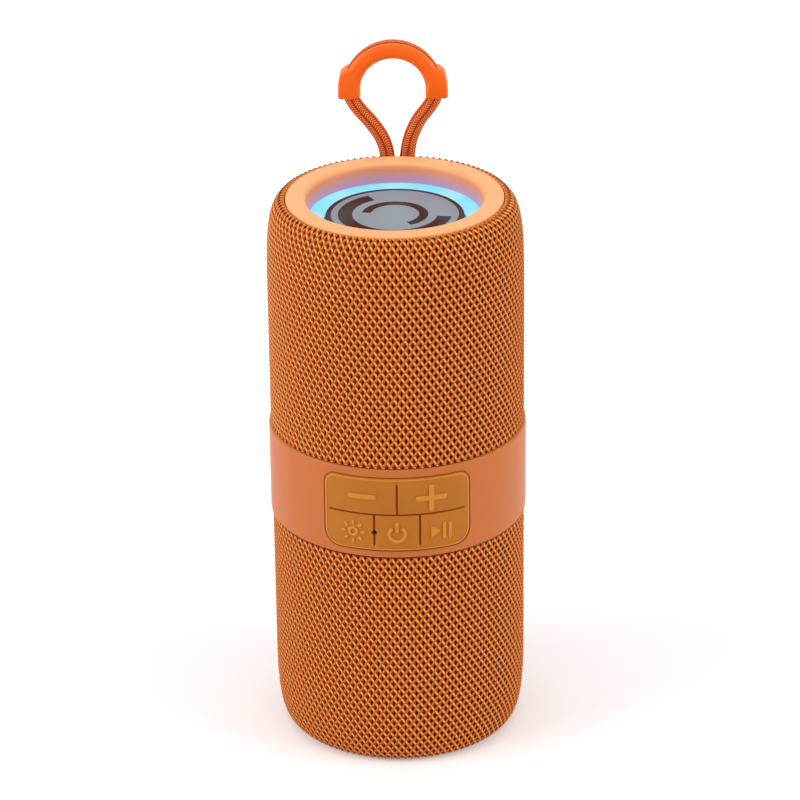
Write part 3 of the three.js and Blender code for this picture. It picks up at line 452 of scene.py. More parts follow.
def bezel_material():
    material = start_material(
        "bezel_satin_tpu_painted_light", "#FFB47A", 0.4, Specular_IOR_Level=0.25, Subsurface_Weight=0.1,
        Subsurface_Radius=(1.0, 0.5, 0.2), Subsurface_Scale=1.5 * MM, Emission_Strength=1.0)
    node = partial(add_node, material)
    place = node("TexCoord", out="Object")
    grain = node("TexNoise", {"Vector": place, "Scale": per_mm(0.35)})
    relief = node("Bump", {"Height": grain, "Distance": 0.005 * MM, "Strength": 0.3})
    split = node("SeparateXYZ", {0: place}, out="Z")
    from_middle = node("Math", {0: split, 1: MID_Z * MM}, operation="SUBTRACT")
    distance = node("Math", {0: from_middle}, operation="ABSOLUTE")
    depth = node("Math", {0: MID_Z * MM, 1: distance}, operation="SUBTRACT")
    radius = from_axis(material, place)[-1]
    inside = node(
        "MapRange",
        {"Value": radius, 1: (BEZEL_INNER_R + 1.5) * MM, 2: (BEZEL_INNER_R + 0.1) * MM}, **SMOOTH)
    turn_in = node("MapRange", {"Value": depth, 1: 0.1 * MM, 2: 2.0 * MM})
    deep = node("MapRange", {"Value": depth, 1: 1.6 * MM, 2: (RECESS_DEPTH - 0.8) * MM}, **SMOOTH)
    near = node("Math", {0: turn_in, 1: inside}, operation="MULTIPLY")
    lit = node("Math", {0: deep, 1: inside}, operation="MULTIPLY")
    # Painted shade: a darker orange just inside the lip
    lip = node("Mix", {0: near, 6: "#FFB47A", 7: "#E99465"}, **IN_COLOUR)
    # Painted light from the ring: mauve on the deep wall
    wall = node("Mix", {0: lit, 6: lip, 7: "#C08A7C"}, **IN_COLOUR)
    # Painted light from the ring: a faint bluish emission on the deep wall
    glow = node("Mix", {0: lit, 6: "#000000", 7: PAINTED_RING_GLOW}, **IN_COLOUR)
    return feed(material, Base_Color=wall, Normal=relief, Emission_Color=glow)


bezel_tpu_with_painted_light = bezel_material()


# %% The lit ring: milky polycarbonate over cyan LEDs
# The ring is a light guide, bright all round and almost white just over each LED.
LED_COUNT = 8


def light_guide():
    material = start_material(
        "milky_light_guide", "#2E4E58", 0.35, Emission_Strength=0.95, Specular_IOR_Level=0.2)
    node = partial(add_node, material)
    place = node("TexCoord", out="Object")
    around = node("TexGradient", {"Vector": place}, out="Fac", gradient_type="RADIAL")
    cycles = node("Math", {0: around, 1: 2 * math.pi * LED_COUNT}, operation="MULTIPLY")
    wave = node("Math", {0: cycles}, operation="COSINE")
    spot = node("MapRange", {"Value": wave, 1: -0.2, 2: 1.0, 3: 0.0, 4: 0.35}, **SMOOTH)
    colour = node("Mix", {0: spot, 6: "#8CE2FC", 7: "#C4F4FF"}, **IN_COLOUR)
    return feed(material, Emission_Color=colour)


light_ring_material = light_guide()

# %% [markdown]
# The disc is an anodised plate with a printed face: a dark border, a cool grey field, and two plain
# arcs. Distance from the axis picks the colour, and the angle round the axis opens the arcs.

# %% The radiator's disc: anodised aluminium with a printed face
DISC_BORDER = 1.7
# Each arc's middle radius and width in millimetres, and the way that its opening faces
DISC_ARCS = ((15.2, 4.4, 0.6), (8.8, 2.8, 0.6 + math.pi))
ARC_OPENING = 0.45


def disc_material():
    material = start_material("printed_anodised_disc", "#8B9094", 0.22, Specular_IOR_Level=0.12)
    node = partial(add_node, material)
    place = node("TexCoord", out="Object")
    x, y, radius = from_axis(material, place)
    angle = node("Math", {0: x, 1: y}, operation="ARCTAN2")
    dark = node("Math", {0: radius, 1: (PLATE_R - DISC_BORDER) * MM}, operation="GREATER_THAN")
    for middle, width, opening in DISC_ARCS:
        apart = node("Math", {0: radius, 1: middle * MM, 2: width / 2 * MM}, operation="COMPARE")
        swing = node("Math", {0: angle, 1: opening}, operation="SUBTRACT")
        turned_away = node("Math", {0: swing}, operation="COSINE")
        shown = node("Math", {0: turned_away, 1: ARC_OPENING}, operation="LESS_THAN")
        arc = node("Math", {0: apart, 1: shown}, operation="MULTIPLY")
        dark = node("Math", {0: dark, 1: arc}, operation="MAXIMUM")
    face = node("Mix", {0: dark, 6: "#8F9AA6", 7: "#2A120D"}, **IN_COLOUR)
    grain = node("TexNoise", {"Vector": place, "Scale": per_mm(0.5)})
    gloss = node("MapRange", {"Value": grain, 3: 0.2, 4: 0.3})
    return feed(material, Base_Color=face, Roughness=gloss)


disc_print = disc_material()

# %% [markdown]
# The knit is an open net of shiny polyester yarn. Its holes stand in rows, and each row is shifted by
# half a hole from the one below. Half the row count added to the column count is a whole number at a
# hole and a half number on a falling strand, and taken away it does the same for a rising strand. The
# same pair draws the yarn's relief in the mesh and its colour here, with light and shade painted in: a
# painted highlight in short dashes on the falling strands, which lie on top, a fainter painted
# highlight along the rising strands, painted shade where a rising strand tucks under, and painted
# shade, nearly black, in the holes, but for their left sides, where light still reaches the yarn.

# %% The knit: shiny polyester yarn, with painted highlights and painted shade
def knit_material():
    material = start_material(
        "open_polyester_knit", "#DA7B3C", 0.5, Specular_IOR_Level=0.1, Sheen_Weight=0.5,
        Sheen_Roughness=0.35, Sheen_Tint=linear("#FF9A4C"))
    node = partial(add_node, material)
    counts = node("UVMap", uv_map="stitches")
    column = node("SeparateXYZ", {0: counts}, out="X")
    row = node("SeparateXYZ", {0: counts}, out="Y")
    half_row = node("Math", {0: row, 1: 0.5}, operation="MULTIPLY")

    def offset(operation, shift=0.0):
        """How far, in pitches, a point lies from the middle of the nearest strand."""
        count = node("Math", {0: column, 1: half_row}, operation=operation)
        moved = node("Math", {0: count, 1: shift}, operation="ADD")
        part = node("Math", {0: moved}, operation="FRACT")
        return node("Math", {0: part, 1: 0.5}, operation="SUBTRACT")

    def band(value, near, far):
        """1 where `value` is close to zero and 0 beyond `far`."""
        size = node("Math", {0: value}, operation="ABSOLUTE")
        return node("MapRange", {"Value": size, 1: far, 2: near}, **SMOOTH)

    falling = offset("ADD")
    rising = offset("SUBTRACT")
    top = band(falling, 0.16, 0.28)
    below = band(rising, 0.15, 0.27)
    edge = band(row, 0.15, 0.45)
    over = node("Math", {0: top, 1: edge}, operation="MAXIMUM")
    yarn = node("Math", {0: over, 1: below}, operation="MAXIMUM")
    # Painted shade: the rising strand darkens beside the falling strand that lies over it
    tucked_shade = band(falling, 0.2, 0.42)
    under = node("Mix", {0: tucked_shade, 6: "#CE6420", 7: "#8E3206"}, **IN_COLOUR)
    # Painted highlight along one side of each rising strand
    lit = band(offset("SUBTRACT", 0.08), 0.0, 0.16)
    lower = node("Mix", {0: lit, 6: under, 7: "#E47E30"}, **IN_COLOUR)
    # Painted shade in the holes: nearly black, red-brown on their left sides, where light still reaches
    # the yarn
    from_hole = node("Math", {0: offset("ADD", 0.5), 1: offset("SUBTRACT", 0.5)}, operation="ADD")
    leftwards = node("MapRange", {"Value": from_hole, 1: 0.02, 2: -0.22}, **SMOOTH)
    behind = node("Mix", {0: leftwards, 6: "#200300", 7: "#92340A"}, **IN_COLOUR)
    base = node("Mix", {0: below, 6: behind, 7: lower}, **IN_COLOUR)
    # Painted highlight: short bright dashes along the top of the falling strands
    shine = band(offset("ADD", -0.05), 0.02, 0.17)
    dashes = band(offset("SUBTRACT", 0.6), 0.16, 0.47)
    shone = node("Math", {0: shine, 1: dashes}, operation="MULTIPLY")
    strand = node("Mix", {0: shone, 6: "#DA6712", 7: "#FFC476"}, **IN_COLOUR)
    colour = node("Mix", {0: over, 6: base, 7: strand}, **IN_COLOUR)
    gloss = node("MapRange", {"Value": shone, 3: 0.6, 4: 0.3})
    height = node("Math", {0: yarn, 1: over}, operation="ADD")
    round_top = node("Math", {0: height, 1: shine}, operation="ADD")
    relief = node("Bump", {"Height": round_top, "Distance": 0.16 * MM, "Strength": 0.8})
    return feed(material, Base_Color=colour, Roughness=gloss, Normal=relief)


knit_polyester = knit_material()


# %% The braid: the same yarn in six columns of small chevrons, with painted light and shade
def braid_material():
    material = start_material(
        "braided_polyester", "#D1531A", 0.55, Specular_IOR_Level=0.15, Sheen_Weight=0.2,
        Sheen_Roughness=0.4, Sheen_Tint=linear("#FF8A4C"))
    node = partial(add_node, material)
    counts = node("UVMap", uv_map="stitches")
    rib = node("SeparateXYZ", {0: counts}, out="X")
    stitch = node("SeparateXYZ", {0: counts}, out="Y")
    across = node("Math", {0: rib, 1: 1.0}, operation="PINGPONG")
    slanted = node("Math", {0: across, 1: stitch}, operation="ADD")
    turn = node("Math", {0: slanted, 1: math.pi}, operation="MULTIPLY")
    wave = node("Math", {0: turn}, operation="SINE")
    crest = node("Math", {0: wave}, operation="ABSOLUTE")
    # Painted highlight on the crests of the stitches and painted shade in the dips between them
    light = node("MapRange", {"Value": crest, 1: 0.2, 2: 0.9}, **SMOOTH)
    stitched = node("Mix", {0: light, 6: "#8A2805", 7: "#F88240"}, **IN_COLOUR)
    # Painted shade in the valleys between the columns
    valley_shade = node("MapRange", {"Value": across, 1: 0.6, 2: 0.95, 3: 0.0, 4: 0.8}, **SMOOTH)
    colour = node("Mix", {0: valley_shade, 6: stitched, 7: "#8A2A05"}, **IN_COLOUR)
    relief = node("Bump", {"Height": crest, "Distance": 0.08 * MM, "Strength": 0.6})
    return feed(material, Base_Color=colour, Normal=relief)


braid_polyester = braid_material()
print("materials made:", len(bpy.data.materials))

# %% [markdown]
# ## The strap's cord
#
# The strap is 4.5 mm braided cord. It rises from two moulded ends on a pin, crosses inwards to a narrow
# neck, opens out and runs round the arch of its grip. Its route is listed as heights over the
# pin, and a centripetal Catmull-Rom curve runs through the points.

# %% The cord's route
CORD_R = 2.25
ARCH_X = -0.67
ARCH_RISE = 45.1
ARCH_R = 13.3
LEFT_LEG = (
    (-0.0031, 0.0063), (-0.00305, 0.012), (-0.0028, 0.018), (-0.0028, 0.0235), (-0.0046, 0.0292),
    (-0.0086, 0.035), (-0.0114, 0.0383), (-0.0135, 0.0418),
)
RIGHT_LEG = (
    (0.0122, 0.0418), (0.0101, 0.0383), (0.0076, 0.035), (0.0049, 0.0292), (0.0037, 0.0235),
    (0.0034, 0.018), (0.00315, 0.012), (0.0031, 0.0063),
)


def cord_controls():
    """The points that the cord passes through, in metres."""
    arch = []
    for i in range(9):
        turn = math.pi * (1 - i / 8)
        arch.append((
            (ARCH_X + ARCH_R * math.cos(turn)) * MM, (ARCH_RISE + ARCH_R * math.sin(turn)) * MM))
    route = [*LEFT_LEG, *arch, *RIGHT_LEG]
    return [Vector((x, STRAP_Y * MM, PIN_Z * MM + rise)) for x, rise in route]


def curve_through(points, per_span=24):
    """Close points on the centripetal Catmull-Rom curve through the given ones."""
    padded = [2 * points[0] - points[1], *points, 2 * points[-1] - points[-2]]
    line = [points[0]]
    for i in range(len(points) - 1):
        four = padded[i:i + 4]
        knots = [0.0]
        for a, b in zip(four, four[1:]):
            knots.append(knots[-1] + math.sqrt((b - a).length))
        for k in range(1, per_span + 1):
            t = knots[1] + (knots[2] - knots[1]) * k / per_span
            level = four
            for order in range(1, 4):
                level = [
                    a.lerp(b, (t - knots[j]) / (knots[j + order] - knots[j]))
                    for j, (a, b) in enumerate(zip(level, level[1:]))
                ]
            line.append(level[0])
    return line


def evenly(line, spacing):
    """The same line with its points `spacing` metres apart, or a little closer."""
    lengths = np.cumsum([0] + [(b - a).length for a, b in zip(line, line[1:])])
    count = math.ceil(lengths[-1] / spacing)
    wanted = np.linspace(0, lengths[-1], count + 1)
    axes = [np.interp(wanted, lengths, [p[k] for p in line]) for k in range(3)]
    return [Vector(p) for p in zip(*axes)], float(lengths[-1])


cord_points, cord_length = evenly(curve_through(cord_controls()), 0.32 * MM)
print("cord length", round(cord_length / MM, 1), "mm in", len(cord_points), "rings")

# %% [markdown]
# The braid is real relief: a ring of 48 points is extruded along the route, and each point is then
# lifted by the rib it lies on and the slanted stitch within that rib. A ring's place round the cord and
# along it stays on its points as two layers, which also become the UV map that the material reads.

# %% The braided cord
RIBS = 12
RING = 4 * RIBS
STITCH = 0.8


def swept(line, radius, sides):
    """Extrudes a circle along a line in the plane of the strap. Returns the bmesh and its layers."""
    bm = bmesh.new()
    around = bm.verts.layers.float.new("around")
    along = bm.verts.layers.float.new("along")
    ring = bmesh.ops.create_circle(bm, segments=sides, radius=radius, cap_ends=False)["verts"]
    for vert in ring:
        vert[around] = (math.atan2(vert.co.y, vert.co.x) / (2 * math.pi)) % 1.0

    def placed(i):
        before, after = line[max(i - 1, 0)], line[min(i + 1, len(line) - 1)]
        tangent = (after - before).normalized()
        depth = Vector((0, 1, 0))
        return Matrix.Translation(line[i]) @ Matrix(
            (depth.cross(tangent), depth, tangent)).transposed().to_4x4()

    edges = list({e for v in ring for e in v.link_edges})
    first_ring = edges
    bmesh.ops.transform(bm, matrix=placed(0), verts=ring)
    travelled = 0.0
    for i in range(1, len(line)):
        made = bmesh.ops.extrude_edge_only(bm, edges=edges)
        ring, edges = made_by(made), made_by(made, bmesh.types.BMEdge)
        travelled += (line[i] - line[i - 1]).length
        for vert in ring:
            vert[along] = travelled
        bmesh.ops.transform(bm, matrix=placed(i) @ placed(i - 1).inverted(), verts=ring)
    for loop in (first_ring, edges):
        bmesh.ops.contextual_create(bm, geom=loop)
    bmesh.ops.recalc_face_normals(bm, faces=bm.faces)
    return bm, around, along


def braided(line):
    """The cord with its ribs and stitches, and the UV map that counts them."""
    bm, around, along = swept(line, (CORD_R - 0.17) * MM, RING)
    bm.normal_update()
    lifts = {}
    for vert in bm.verts:
        rib = vert[around] * RIBS
        pair = 1 - abs(rib % 2 - 1)
        stitch = abs(math.sin(math.pi * (pair + vert[along] / (STITCH * MM))))
        lifts[vert] = (0.24 * math.sqrt(1 - 0.97 * pair ** 2) + 0.05 * stitch) * MM
    for vert, lift in lifts.items():
        vert.co += vert.normal * lift
    counts = bm.loops.layers.uv.new("stitches")
    for face in bm.faces:
        turns = [loop.vert[around] for loop in face.loops]
        wraps = len(face.verts) == 4 and max(turns) - min(turns) > 0.5
        for loop, turn in zip(face.loops, turns):
            whole = turn + 1 if wraps and turn < 0.5 else turn
            loop[counts].uv = (whole * RIBS, loop.vert[along] / (STITCH * MM))
    return bm


cord = finished(
    "braided_strap_cord", braided(cord_points), braid_polyester, "strap",
    ["strap_cord"], sharp=80)

# %% [markdown]
# ## The grip and the moulded ends
#
# The grip is one moulded piece: a channel that holds the cord round its arch and lets it show along the
# outer edge, and a block with a round shoulder at each foot. The channel is a section spun half a turn
# and run straight down into the feet, and the cord's own route cuts its bed through all of it.

# %% Joining and cutting whole shapes
def combined(first, second, operation):
    """Joins, cuts or intersects two closed bmeshes, exactly. Both are used up."""
    body, tool = [in_scene("scratch", mesh_of("scratch", shape)) for shape in (first, second)]
    modifier = body.modifiers.new("combine", "BOOLEAN")
    modifier.object = tool
    modifier.operation = operation
    modifier.solver = "EXACT"
    graph = bpy.context.evaluated_depsgraph_get()
    result = bmesh.new()
    result.from_object(body, graph)
    for item in (body, tool):
        mesh = item.data
        bpy.data.objects.remove(item)
        bpy.data.meshes.remove(mesh)
    return result


# %% The grip
GRIP_HALF_DEPTH = 3.45
GRIP_INNER_R = 10.1
GRIP_OUTER_R = 15.2
GRIP_OUTER_X = 17.2
FOOT_DROP = 2.7
SHOULDER_RISE = 5.4
ARCH_Z = PIN_Z + ARCH_RISE


def grip_channel():
    """The arch and its two straight legs, as one section spun half a turn."""
    section = filleted([
        (GRIP_INNER_R, -GRIP_HALF_DEPTH + 0.05, 2.3), (GRIP_OUTER_R, -GRIP_HALF_DEPTH + 0.05, 1.3),
        (GRIP_OUTER_R, GRIP_HALF_DEPTH - 0.05, 1.3), (GRIP_INNER_R, GRIP_HALF_DEPTH - 0.05, 2.3),
    ])
    bm = bmesh.new()
    centre = Vector((ARCH_X, STRAP_Y, ARCH_Z)) * MM
    ring = [bm.verts.new(centre + Vector((r, y, 0)) * MM) for r, y in section]
    start = closed_loop(bm, ring)
    made = bmesh.ops.spin(bm, geom=ring + start, cent=centre, axis=(0, -1, 0), angle=math.pi, steps=48)
    end = [item for item in made["geom_last"] if isinstance(item, bmesh.types.BMEdge)]
    for loop in (start, end):
        down = bmesh.ops.extrude_edge_only(bm, edges=loop)
        bmesh.ops.translate(bm, verts=made_by(down), vec=(0, 0, (0.3 - FOOT_DROP) * MM))
        bmesh.ops.contextual_create(bm, geom=made_by(down, bmesh.types.BMEdge))
    return clean(bm)


def grip_foot(facing):
    """One foot: a block round the cord, narrower towards its round shoulder."""
    outline = filleted([
        (GRIP_INNER_R + 0.05, -FOOT_DROP, 0.8), (GRIP_OUTER_X, -FOOT_DROP, 0.9),
        (GRIP_OUTER_X - 0.15, 1.8, 3.0), (GRIP_OUTER_X - 1.0, SHOULDER_RISE, 1.7),
        (13.6, SHOULDER_RISE + 1.9, 1.2), (GRIP_INNER_R + 1.5, 5.0, 0.8),
    ])
    bm = panel(outline, GRIP_HALF_DEPTH, -GRIP_HALF_DEPTH)
    eased(bm, outline_edges(bm), 0.8)
    bmesh.ops.scale(bm, vec=(facing, 1, 1), verts=bm.verts)
    shifted(bm, Vector((ARCH_X, STRAP_Y, ARCH_Z)) * MM)
    bmesh.ops.recalc_face_normals(bm, faces=bm.faces)
    return bm


def grip():
    shape = grip_channel()
    for facing in (-1, 1):
        shape = combined(shape, grip_foot(facing), "UNION")
    bed = swept(cord_points[::6], (CORD_R + 0.15) * MM, 32)[0]
    return combined(shape, bed, "DIFFERENCE")


grip_piece = finished(
    "moulded_grip", grip(), grip_tpu, "strap", ["strap_grip"], sharp=40)

# %% The two moulded ends on the pin, and the pin
EYE_R = 3.1
EYE_WIDTH = 4.6
PIN_R = 1.25
BORE_R = PIN_R + 0.3
LEG_X = 3.1
END_LENGTH = 6.0


def rod(radius, length, edge, sides=48):
    """A round bar along Z from zero, with rounded ends."""
    return turned(
        filleted([(radius, 0, edge), (radius, length, edge), (0, length, 0), (0, 0, 0)], 4), sides)


def crossbar(radius, half, edge, y=0, z=0):
    """A round bar along X, reaching `half` millimetres to either side."""
    bm = rod(radius, 2 * half, edge)
    quarter_turn(bm, "Y")
    return shifted(bm, Vector((-half, y, z)) * MM)


def strap_end(side):
    stub = rod(CORD_R + 0.05, END_LENGTH, 0.35)
    shape = combined(crossbar(EYE_R, EYE_WIDTH / 2, 0.5), stub, "UNION")
    shape = combined(shape, crossbar(BORE_R, 1.5 * EYE_WIDTH, 0.1), "DIFFERENCE")
    return shifted(shape, Vector((side * LEG_X, STRAP_Y, PIN_Z)) * MM)


ends = [
    finished(f"{name}_cord_end", strap_end(side), grip_tpu, "strap",
             [f"{name}_strap_end"])
    for name, side in (("left", -1), ("right", 1))
]
pin_piece = finished(
    "hinge_pin", crossbar(PIN_R, size_of("strap_pin")[1].x, 0.25, STRAP_Y, PIN_Z), zinc_steel,
    "speaker_body", ["strap_pin"])

# %% [markdown]
# The bracket holds the pin on the upper sleeve. A flange lies on the knit, its neck goes through, and
# a rib and two cheeks stand out either side of two slots.

# %% The bracket
BRACKET_R = 41.0
RIB_X = 0.5
SLOT_X = 5.7
CHEEK_X = 8.2
CHEEK_R = EYE_R + 0.4
CHEEK_ROOT = 38.4


def box_between(low, high):
    """A plain box from its lowest to its highest corner, as a cutter."""
    bm = bmesh.new()
    bmesh.ops.create_cube(bm, size=1)
    low, high = Vector(low), Vector(high)
    bmesh.ops.scale(bm, vec=(high - low) * MM, verts=bm.verts)
    return shifted(bm, (high + low) / 2 * MM)


def rounded_rectangle(width, height, top, bottom, middle, steps=6):
    """The outline of a panel in arc length and height, with its upper and lower corner radii."""
    low, high = middle - height / 2, middle + height / 2
    x = width / 2
    return filleted([(-x, low, bottom), (x, low, bottom), (x, high, top), (-x, high, top)], steps)


def cheek(start, end):
    """A plate across X, from `start` to `end`, with a round free end over the pin."""
    low, high, tip = PIN_Z - CHEEK_R, PIN_Z + CHEEK_R, STRAP_Y + CHEEK_R
    corner = CHEEK_R - 0.01
    outline = [(CHEEK_ROOT, low, 0), (tip, low, corner), (tip, high, corner), (CHEEK_ROOT, high, 0)]
    bm = panel(filleted(outline, 8), end, start)
    eased(bm, outline_edges(bm), 0.25, 2)
    quarter_turn(bm, "Z")
    return bm


def bracket():
    flange = bent(
        panel(rounded_rectangle(22.2, 15, 3, 3, PIN_Z), 0, -1.35, rim=0.6), BRACKET_R, behind=True)
    neck = bent(panel(rounded_rectangle(18.1, 12, 2, 2, PIN_Z), -0.8, -4.6), BRACKET_R, behind=True)
    shape = combined(flange, neck, "UNION")
    for low, high in ((-SLOT_X, -RIB_X), (RIB_X, SLOT_X)):
        slot = box_between((low, STRAP_Y - EYE_R - 0.5, PIN_Z - 9), (high, BRACKET_R + 2, PIN_Z + 9))
        shape = combined(shape, slot, "DIFFERENCE")
    for start, end in ((-CHEEK_X, -SLOT_X), (-RIB_X, RIB_X), (SLOT_X, CHEEK_X)):
        shape = combined(shape, cheek(start, end), "UNION")
    return combined(shape, crossbar(BORE_R, CHEEK_X + 1, 0.1, STRAP_Y, PIN_Z), "DIFFERENCE")


bracket_piece = finished(
    "moulded_strap_bracket", bracket(), band_abs, "speaker_body",
    ["strap_bracket"])

# %% [markdown]
# ## Knit sleeves
#
# A sleeve is straight beside the band and rounds in towards the end as a superellipse, a curve between
# an ellipse and a square corner. Its skin is spun finely enough for four points across each hole of
# the knit, and each point is then moved in or out by the yarn that lies there.

# %% The knit sleeves
COLUMN = 2.35
ROW = 1.74
YARN_RISE = 0.13
HOLE_DEPTH = 0.55
PLAIN_ROWS = 0.35  # without holes, along both edges
LINING = 99  # the row count that marks the points of the inner side
KNIT_T = 1.2
SHOULDER_HEIGHT = 28.9
SHOULDER_POWER = 3.16
BEZEL_PROUD = 0.6
SECTORS = 20
COLUMNS = 5 * round(2 * math.pi * FABRIC_R / COLUMN / 5)


def shoulder_curve(inset):
    """The sleeve's side, from the band to the bezel, `inset` under its outer skin."""
    inward = FABRIC_R - BEZEL_R
    upward = SHOULDER_HEIGHT - BEZEL_PROUD - inset
    start = HEIGHT - SHOULDER_HEIGHT
    last = math.acos(((0.3 + inset) / inward) ** (SHOULDER_POWER / 2))
    points = [(FABRIC_R - inset, SLEEVE_LOW)]
    for i in range(81):
        turn = last * i / 80
        points.append((
            BEZEL_R - inset + inward * math.cos(turn) ** (2 / SHOULDER_POWER),
            start + upward * math.sin(turn) ** (2 / SHOULDER_POWER)))
    return np.array(points)


def resampled(points, spacing):
    """Points `spacing` apart along a line, measured back from its last point, and their distances."""
    steps = np.hypot(*np.diff(points, axis=0).T)
    lengths = np.concatenate(([0], np.cumsum(steps)))
    count = math.floor(lengths[-1] / spacing)
    wanted = np.concatenate(([0], lengths[-1] - spacing * np.arange(count, -1, -1)))
    if wanted[1] < 0.3 * spacing:
        wanted = np.delete(wanted, 1)
    return np.column_stack([np.interp(wanted, lengths, points[:, k]) for k in (0, 1)]), wanted


def sleeve_mesh(name, upper):
    """The mesh of one sleeve, with its relief and the UV map that counts columns and rows."""
    skin, lengths = resampled(shoulder_curve(0), ROW / 4)
    lining = resampled(shoulder_curve(KNIT_T), 4 * ROW)[0]
    rows = (lengths - lengths[-1]) / ROW
    bm = bmesh.new()
    row_layer = bm.verts.layers.float.new("row")
    lean_layer = bm.verts.layers.float.new("lean")
    lean = np.arctan2(*np.gradient(skin, axis=0).T)
    verts = []
    for (r, z), row, angle in zip(skin, rows, lean):
        vert = bm.verts.new((r * MM, 0, z * MM))
        vert[row_layer] = row
        vert[lean_layer] = angle
        verts.append(vert)
    for r, z in lining[::-1]:
        vert = bm.verts.new((r * MM, 0, z * MM))
        vert[row_layer] = LINING
        verts.append(vert)
    sector = 2 * math.pi / SECTORS
    spun(bm, verts + closed_loop(bm, verts), sector, 4 * COLUMNS // SECTORS)
    spun(bm, bm.verts[:] + bm.edges[:] + bm.faces[:], 2 * math.pi - sector, SECTORS - 1,
         use_duplicate=True)
    clean(bm, recalc=False)
    if not upper:
        bmesh.ops.scale(bm, vec=(1, 1, -1), verts=bm.verts)
        shifted(bm, (0, 0, HEIGHT * MM))
    bmesh.ops.recalc_face_normals(bm, faces=bm.faces)
    mesh = mesh_of(name, bm)
    knitted(mesh, 1 if upper else -1)
    return mesh


def knitted(mesh, up):
    """Moves the skin in or out by the knit's pattern and writes the pattern's counts as a UV map."""
    count = len(mesh.vertices)
    places = np.empty(count * 3)
    mesh.vertices.foreach_get("co", places)
    places = places.reshape(-1, 3)
    row, lean = np.empty(count), np.empty(count)
    mesh.attributes["row"].data.foreach_get("value", row)
    mesh.attributes["lean"].data.foreach_get("value", lean)
    skin = row < LINING
    first_row = row[skin].min()
    around = np.arctan2(places[:, 1], places[:, 0]) / (2 * math.pi) % 1
    column = around * COLUMNS
    row = up * row
    falling = np.sin(math.pi * (column + row / 2)) ** 2
    rising = np.sin(math.pi * (column - row / 2)) ** 2
    total = falling + rising
    inset = np.minimum(-up * row, up * row - first_row)
    whole = np.clip((inset - PLAIN_ROWS) / PLAIN_ROWS, 0, 1)
    hole = np.clip((0.62 - total) / 0.45, 0, 1)
    hole = hole * hole * (3 - 2 * hole) * whole
    rise = YARN_RISE * np.clip(total - 0.9, 0, 1) * falling - HOLE_DEPTH * hole
    lift = np.where(skin, rise, 0) * MM
    radius = np.hypot(places[:, 0], places[:, 1])
    places[:, 0] *= 1 + lift * np.cos(lean) / radius
    places[:, 1] *= 1 + lift * np.cos(lean) / radius
    places[:, 2] += up * lift * np.sin(lean)
    mesh.vertices.foreach_set("co", places.ravel())
    corners = np.empty(len(mesh.loops), dtype=int)
    mesh.loops.foreach_get("vertex_index", corners)
    u = column[corners].reshape(-1, 4)
    u = np.where((u.max(1, keepdims=True) - u > COLUMNS / 2), u + COLUMNS, u)
    v = np.where(skin, row, 0.5)[corners]
    counts = mesh.uv_layers.new(name="stitches")
    counts.data.foreach_set("uv", np.column_stack([u.ravel(), v]).ravel())
    mesh.update()


upper_knit = sleeve_mesh("upper_knit", True)
shape = bmesh.new()
shape.from_mesh(upper_knit)
window = bent(panel(rounded_rectangle(18.7, 12.6, 2.3, 2.3, PIN_Z), 2, -8), BRACKET_R, behind=True)
finished(
    "upper_knit_sleeve", combined(shape, window, "DIFFERENCE"), knit_polyester, "speaker_body",
    ["upper_fabric_sleeve"], sharp=80)
finished(
    "lower_knit_sleeve", sleeve_mesh("lower_knit", False), knit_polyester, "speaker_body",
    ["lower_fabric_sleeve"], sharp=80)

# %% [markdown]
# ## Ends
#
# Each end is the same set turned over: a bezel with a broad rim and a well-rounded lip, the light
# ring at the foot of its wall, and the disc that moves with the passive radiator.
# Under the disc lies a rubber surround. Its inner lip is glued to the disc and its foot is clamped in
# the housing, so its wall stretches as the disc travels; here it is left on neither body.

# %% Bezels, light rings and discs
BEZEL_WALL = 1.8
FOOT_DEPTH = 14.7
LIGHT_DEPTH = 6.5
RECESS_R = BEZEL_INNER_R - 1.3
LIGHT_OUTER_R = BEZEL_INNER_R + 1


def at_end(profile, top):
    """A profile of (radius, depth under the rim) as heights at the top or the bottom end."""
    return [(r, HEIGHT - d if top else d) for r, d in profile]


BEZEL = filleted([
    (BEZEL_R, FOOT_DEPTH, 0.3), (BEZEL_R, 0, 0.7), (BEZEL_INNER_R, 0, 1.6),
    (RECESS_R, RECESS_DEPTH, 0.15), (RECESS_R + 1.4, RECESS_DEPTH, 0.3),
    (BEZEL_INNER_R + 1.5, 2.0, 0.5), (BEZEL_R - BEZEL_WALL, 2.0, 0.5),
    (BEZEL_R - BEZEL_WALL, FOOT_DEPTH, 0.3),
], 7)
LIGHT = filleted([
    (LIGHT_OUTER_R, LIGHT_DEPTH, 0.2), (PLATE_R + 0.7, LIGHT_DEPTH + 0.8, 0.3),
    (PLATE_R + 0.7, 8.6, 0.3), (LIGHT_OUTER_R - 1.5, 8.6, 0), (LIGHT_OUTER_R - 1.5, 9.9, 0.2),
    (LIGHT_OUTER_R, 9.9, 0.2),
], 4)
DISC = filleted([(0, 9.0, 0), (PLATE_R, 9.0, 0.3), (PLATE_R, 6.1, 0.45), (0, 6.1, 0)], 5)
SURROUND = filleted([
    (PLATE_R - 5.5, 9.3, 0), (PLATE_R - 1.2, 9.3, 1.2), (PLATE_R + 0.7, 11.2, 0.8),
    (PLATE_R + 1.2, 13.9, 0.3), (PLATE_R + 3.2, 13.9, 0.2), (PLATE_R + 3.2, 14.7, 0.2),
    (PLATE_R + 0.4, 14.7, 0.3), (PLATE_R - 0.2, 11.5, 0.6), (PLATE_R - 1.6, 10.1, 0.6),
    (PLATE_R - 5.5, 10.1, 0),
], 4)

